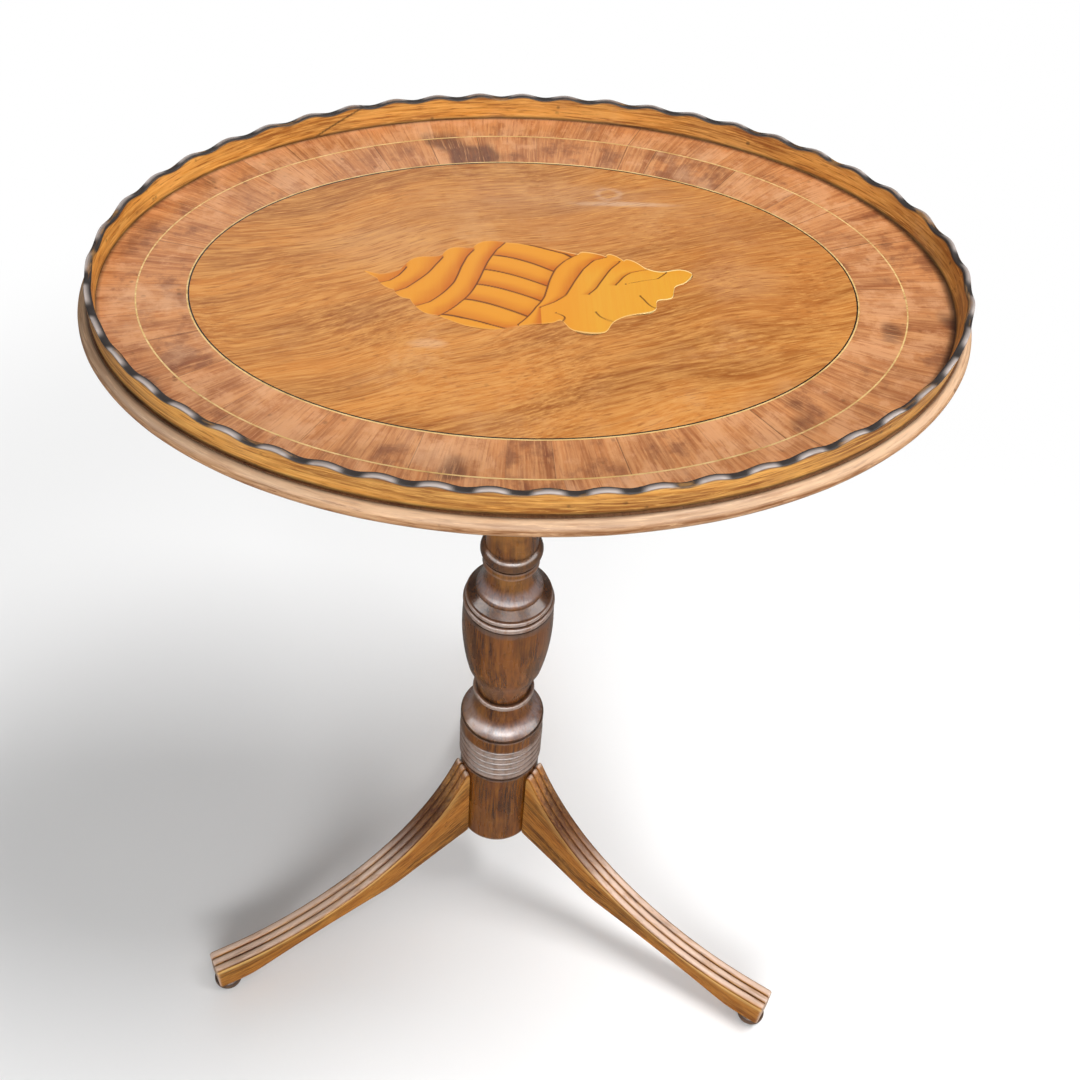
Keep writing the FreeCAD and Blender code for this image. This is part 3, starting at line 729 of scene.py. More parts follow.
def dress(piece: bpy.types.Object, material: bpy.types.Material, body: str, slot: str, *nodes: str) -> None:
    """Give a new piece its material and body, and let it stand for CAD nodes.

    Args:
        piece: The new piece.
        material: Its finish.
        body: Body it rides on.
        slot: Material slot of the record; not used.
        nodes: CAD nodes that it replaces.
    """
    piece.data.materials.clear()
    piece.data.materials.append(material)
    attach(piece, body)
    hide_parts(*nodes)
    LOG.info("%s: %d faces on %s", piece.name, len(piece.data.polygons), body)


def redress(node: str, material: bpy.types.Material) -> None:
    """Give a CAD node a finish and log it.

    Args:
        node: The CAD node, which keeps its shape.
        material: Its finish.
    """
    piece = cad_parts[node]
    piece.data.materials.clear()
    piece.data.materials.append(material)
    LOG.info("%s keeps its CAD shape with %s", node, material.name)


@dataclass
class TrayTop:
    """The oval top's gallery, bead and bands."""

    wave_count: int = 48
    wave_rise: float = 1.2 * MM
    wave_points: int = 28
    drift_count: int = 7
    drift_rise: float = 0.25 * MM
    gallery_wall: float = 4.3 * MM
    gallery_lean: float = 3.0 * MM
    gallery_rows: int = 16
    corner_points: int = 5
    edge_round: float = 0.8 * MM
    scarf_turn: float = np.radians(123.0)
    scarf_slope: float = 2.2
    bead_radius: float = 6.0 * MM
    bead_back: float = 0.4 * MM
    bead_rings: int = 900
    bead_points: int = 19
    bead_wander: float = 0.12 * MM
    wander_count: int = 11
    band_rings: int = 1500
    band_points: int = 15
    band_ripple: float = 0.03 * MM
    ripple_count: int = 90
    band_joints: int = 30
    joint_jitter_share: float = 0.3
    corner_shade_and_joint: float = 0.9
    bead_top_highlight: float = 0.7
    bead_underside_shade: float = 0.75
    body: str = "top"
    rng: np.random.Generator = field(default_factory=lambda: np.random.default_rng(7))

    def build_gallery(self) -> bpy.types.Object:
        """Upright wall with rounded edges whose top waves round the oval.

        The top's height is its mean, plus the wave's rise times the cosine of the wave count times the turn made
        along the edge, plus a slow drift. Painted shade is full on the top edge and fades down the faces, a painted
        highlight lies on the wave crests and painted shade darkens the foot. A slanting scarf joint is dark.

        Returns:
            The gallery piece.
        """
        low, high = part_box("gallery")
        centre, half = (low[0] + high[0]) / 2, (high - low) / 2
        wall, bend, rows = self.gallery_wall, self.edge_round, self.gallery_rows
        major, minor = half[0] - wall, half[1] - wall
        turn, along = oval_ring(self.wave_count * self.wave_points, major, minor)
        round_share = TAU * along / (along[-1] + along[1])
        wave = np.cos(self.wave_count * round_share)
        drift = self.drift_rise * np.sin(self.drift_count * round_share + 1.0)
        mean = high[2] - self.wave_rise
        top = (mean + self.wave_rise * wave + drift)[:, None]
        corner = np.linspace(0.0, np.pi / 2, self.corner_points)
        rise, flat = np.linspace(0.0, 1.0, rows, endpoint=False), np.zeros(rows)
        eased, steep = bend * np.cos(corner), bend * np.sin(corner)
        across = np.concatenate([flat, bend - eased, wall - bend + steep, flat + wall])
        drop = np.concatenate([flat, steep - bend, eased - bend, flat])
        share = np.concatenate([rise, np.ones(2 * corner.size), rise[::-1]])
        height = low[2] + (top - bend - low[2]) * share + (drop + bend) * (share == 1.0)
        lean = self.gallery_lean * np.clip(np.cos(turn), 0.0, 1.0)[:, None] ** 4 * (height - low[2]) / (mean - low[2])
        rings = oval_sweep(turn, centre, major + across + lean, minor + across + lean, height)
        # Painted highlight along each wave's crest.
        crest = smooth(-0.75, 0.4, wave)[:, None]
        # Painted shade at the wall's foot.
        foot = smooth(low[2] + 2.6 * MM, low[2] + 0.6 * MM, height)
        scarf = along[:, None] - np.interp(self.scarf_turn, turn, along) + (height - low[2]) * self.scarf_slope
        marks = {
            "grain": vectors(along[:, None], height, across[None, :]),
            # Painted shade along the rounded top edge; painted highlight on the crests; painted shade at the foot and
            # the dark scarf joint.
            "wear_and_painted_light": smooth(-1.5 * MM, -0.3 * MM, height - top),
            "rub_and_highlight": crest * smooth(-1.0 * MM, -0.1 * MM, height - top) * smooth(0.2 * wall, 0.5 * wall, across),
            "dirt_and_painted_shade": np.maximum(foot, smooth(2.4 * MM, 0.8 * MM, np.abs(scarf))) * self.corner_shade_and_joint,
        }
        return loft("gallery_wall", rings, True, marks)

    def build_bead(self) -> bpy.types.Object:
        """Half-round moulding: a half circle carried round the board's edge, with a slight wander.

        Its upper half gets a painted highlight, and painted shade darkens its underside and the crease along its top.

        Returns:
            The bead piece.
        """
        low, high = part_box("edge_bead")
        radius = self.bead_radius
        centre, half = (low[0] + high[0]) / 2, (high - low) / 2
        major, minor = half[0] - radius, half[1] - radius
        turn, along = oval_ring(self.bead_rings, major, minor)
        bend = np.linspace(-np.pi / 2, np.pi / 2, self.bead_points)
        across = np.concatenate([[-self.bead_back], radius * np.cos(bend), [-self.bead_back]])
        level = np.concatenate([[-1.0], np.sin(bend), [1.0]])
        wander = self.bead_wander * np.sin(TAU * self.wander_count * along / along[-1])[:, None] * (across > 0)
        height = (low[2] + high[2]) / 2 + radius * level
        outward = across - np.abs(wander)
        rings = oval_sweep(turn, centre, major + outward, minor + outward, height)
        marks = {
            "grain": vectors(along[:, None], height, across[None, :]),
            # Painted highlight on the upper half.
            "wear_and_painted_light": smooth(0.1, 0.9, level) * self.bead_top_highlight,
            # Painted shade on the underside and in the crease along the top.
            "dirt_and_painted_shade": np.maximum(smooth(-0.2, -0.8, level) * self.bead_underside_shade, smooth(0.97, 1.0, level) * self.corner_shade_and_joint),
        }
        return loft("edge_bead_moulding", rings, True, marks)

    def build_band(self, name: str, node: str, inner: str) -> bpy.types.Object:
        """Crossband: a flat strip carried round the oval, with its grain across it and its joints marked.

        Each point carries its distance along the edge to the nearest joint, the tone of its veneer length and the
        painted shade in the corner at the gallery's foot.

        Args:
            name: Name of the piece.
            node: CAD node whose place it takes.
            inner: CAD node that it surrounds.

        Returns:
            The band piece.
        """
        low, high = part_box(node)
        near_low, near_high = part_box(inner)
        wall_low, wall_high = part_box("gallery")
        half, near_half = (high - low) / 2, (near_high - near_low) / 2
        shift, near_shift = (low[0] + high[0]) / 2, (near_low[0] + near_high[0]) / 2
        turn, along = oval_ring(self.band_rings, half[0], half[1])
        length = along[-1] + along[1]
        part = np.concatenate([[0.0], np.linspace(0.0, 1.0, self.band_points), [1.0]])
        across = part * (half[1] - near_half[1])
        under_gallery = (wall_high[1] - wall_low[1]) / 2 - self.gallery_wall - near_half[1]
        height = np.concatenate([[low[2]], np.full(self.band_points, high[2]), [low[2]]])
        ripple = self.band_ripple * np.sin(TAU * self.ripple_count * along / length)[:, None] * (height > low[2])
        major, minor = (near_half[k] + part * (half[k] - near_half[k]) for k in (0, 1))
        rings = oval_sweep(turn, near_shift + part * (shift - near_shift), major, minor, height - np.abs(ripple))
        jitter = self.rng.uniform(-1.0, 1.0, self.band_joints) * self.joint_jitter_share
        joints = (np.arange(self.band_joints) + jitter) * length / self.band_joints
        gaps = np.abs((along[:, None] - joints + length / 2) % length - length / 2)
        owner = np.searchsorted(np.sort(joints), along) % self.band_joints
        tone = self.rng.beta(1.6, 2.4, self.band_joints)[owner][:, None]
        slip = self.rng.uniform(0.0, 1.0, self.band_joints)[owner][:, None]
        marks = {
            "grain": vectors(across[None, :] + slip, along[:, None], slip),
            "seam": gaps.min(axis=1)[:, None],
            "tone": tone,
            # Painted shade in the corner under the gallery's foot.
            "dirt_and_painted_shade": smooth(-1.2 * MM, 0.4 * MM, across - under_gallery) * self.corner_shade_and_joint,
        }
        return loft(name, rings, True, marks)

    def make(self, finish: Finishes) -> None:
        """Build the gallery, bead and bands and dress them.

        Args:
            finish: Materials by name.
        """
        dress(self.build_gallery(), finish["gallery_mahogany"], self.body, "gallery_wood", "gallery")
        dress(self.build_bead(), finish["bead_mahogany"], self.body, "bead_wood", "edge_bead")
        for node, inner in (("inner_crossband", "inner_string_box"), ("outer_crossband", "outer_string")):
            band = self.build_band(node + "_veneer", node, inner)
            dress(band, finish["crossband_mahogany"], self.body, "crossband", node)


@dataclass
class Shell:
    """The inlaid conch shell, as shares of its half length and half width."""

    outline: Path = (
        (-0.98, 0.33), (-0.88, 0.27), (-0.77, 0.37), (-0.68, 0.57), (-0.55, 0.66), (-0.46, 0.81),
        (-0.35, 0.87), (-0.24, 0.99), (-0.08, 1.03), (0.16, 0.91), (0.31, 0.80), (0.40, 0.76),
        (0.52, 0.73), (0.67, 0.57), (0.81, 0.41), (0.95, 0.46), (1.02, 0.36), (0.97, 0.16),
        (0.90, 0.05), (0.87, -0.19), (0.78, -0.26), (0.75, -0.48), (0.59, -0.59), (0.50, -0.73),
        (0.43, -0.96), (0.26, -0.92), (0.19, -0.71), (0.13, -0.76), (-0.04, -0.82), (-0.20, -0.91),
        (-0.36, -0.85), (-0.48, -0.71), (-0.61, -0.52), (-0.71, -0.26), (-0.79, -0.10), (-0.88, 0.12),
    )
    lines: tuple[Path, ...] = (
        ((-0.73, 0.42), (-0.775, 0.24), (-0.83, 0.12), (-0.89, 0.07)),
        ((-0.51, 0.66), (-0.55, 0.50), (-0.60, 0.30), (-0.66, 0.13), (-0.73, -0.04), (-0.80, -0.13)),
        ((-0.32, 0.84), (-0.36, 0.68), (-0.40, 0.45), (-0.44, 0.11), (-0.50, -0.12), (-0.59, -0.34), (-0.70, -0.46)),
        ((-0.12, 1.04), (-0.18, 0.86), (-0.23, 0.58), (-0.28, 0.24), (-0.33, -0.05), (-0.40, -0.33), (-0.56, -0.68)),
        ((0.33, 0.79), (0.24, 0.63), (0.18, 0.43), (0.14, 0.15), (0.09, -0.19), (0.05, -0.42), (-0.07, -0.80)),
        ((0.50, 0.72), (0.42, 0.64), (0.35, 0.44), (0.29, 0.16), (0.23, -0.15), (0.16, -0.30), (0.07, -0.42)),
        ((0.58, 0.62), (0.52, 0.45), (0.465, 0.22), (0.42, 0.02), (0.37, -0.12)),
        ((0.78, 0.46), (0.64, 0.37), (0.58, 0.23), (0.54, 0.10)),
    )
    hooks: tuple[Path, ...] = (
        ((0.16, -0.55), (0.21, -0.66), (0.18, -0.78), (0.20, -0.86)),
        ((0.40, -0.52), (0.42, -0.60), (0.45, -0.66), (0.50, -0.72)),
        ((0.68, -0.16), (0.71, -0.28), (0.74, -0.38), (0.80, -0.46)),
        ((0.86, 0.38), (0.80, 0.24), (0.72, 0.20), (0.60, 0.12)),
    )
    top_notches: tuple[float, ...] = (-0.76, -0.51, -0.32, -0.12)
    lip_notches: tuple[float, ...] = (0.33, 0.50, 0.61, 0.73)
    low_notches: tuple[float, ...] = (-0.90, -0.80, -0.70, -0.55)
    scallop: float = 0.075
    scallop_gain: float = 2.6
    curve_steps: int = 24
    body_band: int = 4
    lip_band: int = 6
    rib_top_share: float = 1.07
    rib_pitch_share: float = 0.335
    rib_fall_share: float = 0.36
    half_length: float = 101.0 * MM
    half_width: float = 42.5 * MM
    edging_width: float = 0.9 * MM
    line_width: float = 0.78 * MM
    proud: float = 0.06 * MM
    line_samples: int = 60
    line_degree: int = 4
    whorl_burn: float = 0.9
    joint_burn: float = 0.3
    rib_burn: float = 0.8
    side_burn: float = 0.35
    lip_burn: float = 0.7
    line_strength: float = 0.95
    body: str = "top"

    def bulge(self, notches: tuple[float, ...], x: np.ndarray) -> np.ndarray:
        """Outward swell of the edge between neighbouring notches.

        With s the share of the way from one notch to the next, it is the scallop's height times its gain, times the
        root of s, times one minus s, so that it rises fast and falls slowly. The gain makes its peak one scallop high.

        Args:
            notches: Places of the notches along the length.
            x: Places along the length.

        Returns:
            The swell at each place.
        """
        ends = np.array(notches)
        first = np.clip(np.searchsorted(ends, x) - 1, 0, ends.size - 2)
        share = np.clip((x - ends[first]) / (ends[first + 1] - ends[first]), 0.0, 1.0)
        return self.scallop * self.scallop_gain * np.sqrt(share) * (1.0 - share)

    def edges(self, columns: int) -> tuple[np.ndarray, np.ndarray, np.ndarray]:
        """Lower and upper edge of the shell over its length.

        A closed cubic through the outline's points is cut at its leftmost and rightmost points, and swells between
        the ends of the joint lines.

        Args:
            columns: Number of places along the length.

        Returns:
            Places along the length, the lower edge and the upper edge, all in shares.
        """
        points = np.array(self.outline)
        step = np.arange(points.shape[0] * self.curve_steps) / self.curve_steps
        base = step.astype(int)
        part = (step - base)[:, None]
        near = [points[(base + k) % points.shape[0]] for k in (-1, 0, 1, 2)]
        slope_in, slope_out = (near[2] - near[0]) / 2, (near[3] - near[1]) / 2
        curve = (
            (2 * part**3 - 3 * part**2 + 1) * near[1] + (part**3 - 2 * part**2 + part) * slope_in
            + (3 * part**2 - 2 * part**3) * near[2] + (part**3 - part**2) * slope_out
        )
        left, right = np.argmin(curve[:, 0]), np.argmax(curve[:, 0])
        curve = np.roll(curve, -left, axis=0)
        right = (right - left) % curve.shape[0]
        upper, lower = curve[:right + 1], np.concatenate([curve[right:], curve[:1]])[::-1]
        ease = 0.5 - 0.5 * np.cos(np.linspace(0.02, np.pi - 0.02, columns))
        even = np.linspace(0.001, 0.999, columns)
        x = curve[0, 0] + (upper[-1, 0] - curve[0, 0]) * (0.35 * ease + 0.65 * even)
        top = np.interp(x, np.maximum.accumulate(upper[:, 0]), upper[:, 1])
        bottom = np.interp(x, np.maximum.accumulate(lower[:, 0]), lower[:, 1])
        top = top + self.bulge(self.top_notches, x) + self.bulge(self.lip_notches, x)
        return x, bottom - self.bulge(self.low_notches, x), top

    def line_places(self, lines: tuple[Path, ...], y: np.ndarray) -> np.ndarray:
        """Where each joint line crosses a height.

        Each line's place along the length and its height are functions of one parameter, a polynomial and a run of
        straight steps through its points.

        Args:
            lines: Points of each line, from the top down.
            y: Heights in shares.

        Returns:
            Places with one more leading axis, one layer for each line.
        """
        fine = np.linspace(0.0, 1.0, self.line_samples)
        rows = []
        for line in lines:
            run = np.array(line)[::-1]
            even = np.linspace(0.0, 1.0, len(run))
            across = np.polynomial.Polynomial.fit(even, run[:, 0], min(self.line_degree, len(run) - 1))(fine)
            rows.append(np.interp(y, np.interp(fine, even, run[:, 1]), across))
        return np.stack(rows)

    @staticmethod
    def line_spans(lines: tuple[Path, ...], y: np.ndarray) -> np.ndarray:
        """Whether each line reaches a height, one layer for each line."""
        margin = 0.02
        return np.stack([(y < line[0][1] + margin) & (y > line[-1][1] - margin) for line in lines])

    def build(self, columns: int = 460, rows: int = 130) -> bpy.types.Object:
        """Thin slab over the shell's outline, with its shading held at its points.

        At a place x along the length and a share s of the width, a point's y is the lower edge plus s times the
        height between the edges.

        Args:
            columns: Places along the length.
            rows: Places across the width.

        Returns:
            The shell piece.
        """
        low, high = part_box("shell_inlay")
        x, bottom, top = self.edges(columns)
        share = np.linspace(0.0, 1.0, rows)
        y = bottom[:, None] + (top - bottom)[:, None] * share
        x = np.broadcast_to(x[:, None], y.shape)
        plan = np.stack([x * self.half_length, y * self.half_width], axis=-1)
        marks = self.shade(x, y, bottom[:, None], top[:, None])
        lid = np.concatenate([plan, np.full((*y.shape, 1), high[2] + self.proud)], axis=-1)
        under = np.concatenate([plan, np.full((*y.shape, 1), low[2])], axis=-1)[:, ::-1]
        rings = np.concatenate([lid, under[:, :: rows - 1]], axis=1)
        edge_picks = np.concatenate([np.arange(rows), [rows - 1, 0]])
        return loft("shell_marquetry", rings, False, {key: value[:, edge_picks] for key, value in marks.items()})

    def shade(self, x: np.ndarray, y: np.ndarray, bottom: np.ndarray, top: np.ndarray) -> dict[str, np.ndarray]:
        """Sand shading, joint lines, lip colour and pale edging at every point.

        A band is the space between two neighbouring lines. It darkens towards its right line, the ribs of the
        body darken towards their lower line, and a line fades out at its width from its middle.

        Args:
            x: Places along the length, in shares.
            y: Places across the width, in shares.
            bottom: Lower edge at each place.
            top: Upper edge at each place.

        Returns:
            Values by attribute name.
        """
        places = np.maximum.accumulate(self.line_places(self.lines, y), axis=0)
        shown = self.line_spans(self.lines, y)
        band = (places < x).sum(axis=0)
        ends = np.concatenate([np.full((1, *x.shape), -1.1), places, np.full((1, *x.shape), 1.1)])
        left = np.take_along_axis(ends, band[None], axis=0)[0]
        right = np.take_along_axis(ends, band[None] + 1, axis=0)[0]
        part = np.clip((x - left) / np.maximum(right - left, 1e-3), 0.0, 1.0)
        whorl = smooth(0.35, 1.0, part) * self.whorl_burn + smooth(0.14, 0.0, part) * self.joint_burn
        body = band == self.body_band
        rib = (self.rib_top_share - y - self.rib_fall_share * part**1.4) / self.rib_pitch_share
        rib_part = rib - np.floor(rib)
        ribbed = smooth(0.4, 1.0, rib_part) * self.rib_burn + smooth(0.8, 1.0, part) * self.side_burn
        lip = smooth(0.18, 0.45, x) * smooth(0.35, 0.0, y - 0.25)
        reach = np.where(shown, (places - x) * self.half_length, 1.0)
        beside = np.where(reach > 0.0, reach, 1.0).min(axis=0)
        lip_burn = smooth(6.0 * MM, 0.0, beside) * self.lip_burn
        burn = np.where(band >= self.lip_band, lip_burn, np.where(body, ribbed, whorl))
        near = np.abs(reach).min(axis=0)
        rib_near = np.minimum(rib_part, 1.0 - rib_part) * self.rib_pitch_share * self.half_width
        near = np.where(body, np.minimum(near, rib_near), near)
        hooked = np.where(self.line_spans(self.hooks, y), np.abs(self.line_places(self.hooks, y) - x), 1.0)
        near = np.minimum(near, hooked.min(axis=0) * self.half_length)
        line = smooth(self.line_width, self.line_width * 0.35, near) * self.line_strength
        rim = np.minimum(y - bottom, top - y) * self.half_width
        edging = smooth(self.edging_width, self.edging_width * 0.5, rim) * (0.1 + 0.4 * smooth(0.1, 0.3, x))
        edging = edging * (1.0 + smooth(0.6, 0.75, x))
        grain = np.stack([x * self.half_length + band * 0.3, y * self.half_width, np.zeros_like(x)], axis=-1)
        grain = np.where(body[..., None], grain, grain[..., [1, 0, 2]])
        return {
            "grain": grain,
            "burn": np.clip(burn, 0.0, 1.0),
            "line": line * (edging < 0.3),
            "lip": lip,
            "edging": edging,
        }

    def make(self, finish: Finishes) -> None:
        """Build the shell and dress it."""
        dress(self.build(), finish["shell_satinwood"], self.body, "shell_veneer", "shell_inlay")


@dataclass
class Column:
    """The turned column, from its foot to the shoulder under the block, with its sizes in their order upwards."""

    centre_radius: float = 2.0 * MM
    socket_radius: float = 34.0 * MM
    socket_height: float = 105.0 * MM
    foot_round: float = 7.0 * MM
    recess: float = 1.4 * MM
    drum_radius: float = 34.8 * MM
    drum_step: float = 2.5 * MM
    reed_pitch: float = 8.0 * MM
    reed_count: int = 5
    reed_swell: float = 1.8 * MM
    drum_band: float = 15.0 * MM
    bell_radius: float = 33.6 * MM
    bell_edge: float = 2.5 * MM
    bell_height: float = 29.5 * MM
    bell_hollow: float = 4.5 * MM
    collar_radius: float = 23.6 * MM
    collar_height: float = 6.0 * MM
    collar_swell: float = 1.8 * MM
    vase_foot: float = 21.6 * MM
    vase_step: float = 2.0 * MM
    vase_flare: float = 30.0 * MM
    vase_flare_hollow: float = 1.0 * MM
    vase_waist: float = 29.8 * MM
    vase_height: float = 78.0 * MM
    vase_radius: float = 34.6 * MM
    vase_swell: float = 2.8 * MM
    vase_bead: float = 6.5 * MM
    bead_swell: float = 2.0 * MM
    cap_radius: float = 31.6 * MM
    cap_bead: float = 5.5 * MM
    cap_slope: float = 6.0 * MM
    flare_rim: float = 25.6 * MM
    flare_edge: float = 2.0 * MM
    flare_height: float = 28.0 * MM
    flare_hollow: float = 3.0 * MM
    neck_radius: float = 18.4 * MM
    fillet_radius: float = 21.4 * MM
    fillet_height: float = 7.0 * MM
    torus_height: float = 14.0 * MM
    torus_swell: float = 3.8 * MM
    shaft_step: float = 3.0 * MM
    shaft_foot: float = 19.6 * MM
    shaft_radius: float = 15.4 * MM
    ring_radius: float = 16.2 * MM
    ring_height: float = 7.0 * MM
    ring_swell: float = 1.9 * MM
    capital_height: float = 22.0 * MM
    capital_edge: float = 4.0 * MM
    capital_radius: float = 23.0 * MM
    capital_hollow: float = 3.5 * MM
    tenon_radius: float = 16.0 * MM
    bead_limit: float = 9.0 * MM
    ledge_limit: float = 4.0 * MM
    ledge_slope: float = 0.9
    arc_count: int = 12
    straight_count: int = 4
    mark_spread: float = 1.6 * MM
    hollow_dirt_and_shade: float = 0.75
    ledge_dark_reflection: float = 0.7
    dirt_and_shade_share: float = 0.8
    arris_wear_and_highlight: float = 0.5
    arris_share: float = 0.6
    bead_crown_highlight: float = 0.95
    flare_painted_highlight: float = 0.3
    body: str = "base"

    def moves(self, shoulder: float, foot: float) -> list[tuple[float, float, float]]:
        """Corners of the profile as radius, step up and swell of the arc to the next corner.

        Args:
            shoulder: Height of the shoulder under the block.
            foot: Height of the column's lower end.

        Returns:
            The corners from the foot up.
        """
        drum = self.drum_radius - self.recess
        corners = [
            (self.centre_radius, 0.0, 0.0),
            (self.socket_radius - self.foot_round, 0.0, self.foot_round * (1.0 - 0.5**0.5)),
            (self.socket_radius, self.foot_round, 0.0),
            (self.socket_radius, self.socket_height - self.foot_round, 0.0),
            (drum, 0.0, 0.0),
            (drum, self.drum_step, self.reed_swell),
        ]
        corners += [(drum, self.reed_pitch, self.reed_swell)] * (self.reed_count - 1)
        corners += [
            (drum, self.reed_pitch, 0.0),
            (self.drum_radius, self.recess, 0.0),
            (self.drum_radius, self.drum_band, 0.0),
            (self.bell_radius, 0.0, 0.0),
            (self.bell_radius, self.bell_edge, -self.bell_hollow),
            (self.vase_foot, self.bell_height, 0.0),
            (self.collar_radius, 0.0, self.collar_swell),
            (self.collar_radius, self.collar_height, 0.0),
            (self.vase_foot, 0.0, 0.0),
            (self.vase_foot, self.vase_step, -self.vase_flare_hollow),
            (self.vase_waist, self.vase_flare, self.vase_swell),
            (self.vase_radius, self.vase_height, 0.0),
            (self.vase_radius - self.recess, 0.0, self.bead_swell),
            (self.vase_radius - self.recess, self.vase_bead, 0.0),
            (self.cap_radius, 0.0, self.bead_swell),
            (self.cap_radius, self.cap_bead, 0.0),
            (self.flare_rim, self.cap_slope, 0.0),
            (self.flare_rim, self.flare_edge, -self.flare_hollow),
            (self.neck_radius, self.flare_height, 0.0),
            (self.fillet_radius, 0.0, 0.0),
            (self.fillet_radius, self.fillet_height, 0.0),
            (self.shaft_foot, 0.0, self.torus_swell),
            (self.shaft_foot, self.torus_height, 0.0),
            (self.shaft_foot, self.shaft_step, 0.0),
        ]
        reached = foot + sum(corner[1] for corner in corners)
        shaft = shoulder - self.capital_height - self.ring_height - reached
        return corners + [
            (self.shaft_radius, shaft, 0.0),
            (self.ring_radius, 0.0, self.ring_swell),
            (self.ring_radius, self.ring_height, 0.0),
            (self.shaft_radius, 0.0, -self.capital_hollow),
            (self.capital_radius, self.capital_height - self.capital_edge, 0.0),
            (self.capital_radius, self.capital_edge, 0.0),
            (self.tenon_radius, 0.0, 0.0),
        ]

    def build(self, segments: int = 144) -> bpy.types.Object:
        """Turn the profile about the upright axis.

        Inward turns of the profile darken with grime and painted shade, and outward turns pale with wear and a
        painted highlight, both spread over a few millimetres. Beads get a painted highlight on their crowns, the
        torus and the cap's ledge a painted dark reflection, and a painted highlight lies on the two flares.

        Args:
            segments: Points round the column.

        Returns:
            The column piece.
        """
        low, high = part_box("column")
        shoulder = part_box("tilt_block")[0][2]
        corners = self.moves(shoulder, low[2])
        heights = low[2] + np.cumsum([corner[1] for corner in corners])
        spots = [(corner[0], height) for corner, height in zip(corners, heights)] + [(self.tenon_radius, high[2])]
        runs, crown, dark_reflection, flare_highlight = [], [], [], []
        for (_, _, swell), start, end in zip(corners, spots, spots[1:]):
            fall, rise = start[0] - end[0], end[1] - start[1]
            count = self.arc_count if swell else self.straight_count + int(abs(rise) / MM)
            share = np.linspace(0.0, 1.0, count, endpoint=False)
            bead = swell > 0 and rise < self.bead_limit
            # The torus and the steep cap ledge get a painted dark reflection.
            reflects_dark = swell == self.torus_swell or fall > self.ledge_slope * rise > self.ledge_slope * self.ledge_limit
            flared = swell < 0 and fall > self.collar_height
            runs.append(arc_points(start, end, swell, count))
            # Painted highlight on each bead's crown.
            crown.append(bead * smooth(0.1, 0.35, share) * smooth(1.0, 0.7, share))
            dark_reflection.append(reflects_dark * smooth(1.0, 0.8, share))
            # Painted highlight on the lower part of each flare.
            flare_highlight.append(flared * smooth(0.0, 0.12, share) * smooth(0.5, 0.25, share))
        crown, dark_reflection, flare_highlight = (np.concatenate([*rows, [0.0]]) for rows in (crown, dark_reflection, flare_highlight))
        profile = np.concatenate([*runs, [spots[-1]]])
        direction = np.diff(profile, axis=0)
        heading = np.unwrap(np.arctan2(direction[:, 1], direction[:, 0]))
        bend = np.concatenate([[0.0], np.diff(heading), [0.0]])
        reach = np.cumsum(np.concatenate([[0.0], np.hypot(*direction.T)]))
        spread = np.exp(-(((reach[:, None] - reach) / self.mark_spread) ** 2))
        # Inward turns darken with grime and painted shade; outward turns pale with wear and a painted highlight.
        dirt_and_painted_shade = np.clip(spread @ np.clip(-bend, 0.0, None) * self.hollow_dirt_and_shade, 0.0, 1.0)
        wear_and_painted_light = np.clip(spread @ np.clip(bend, 0.0, None) * self.arris_wear_and_highlight, 0.0, 1.0)
        points = turned(profile, segments)
        marks = {
            "grain": upright_grain(points),
            "dirt_and_painted_shade": np.maximum(dirt_and_painted_shade, self.ledge_dark_reflection * dark_reflection)[:, None] * self.dirt_and_shade_share,
            "wear_and_painted_light": np.maximum(wear_and_painted_light * self.arris_share, self.bead_crown_highlight * crown)[:, None],
            "rub_and_highlight": flare_highlight[:, None] * self.flare_painted_highlight,
        }
        return loft("turned_column", points, False, marks)

    def make(self, finish: Finishes) -> None:
        """Build the column and dress it."""
        dress(self.build(), finish["column_mahogany"], self.body, "column_mahogany", "column")


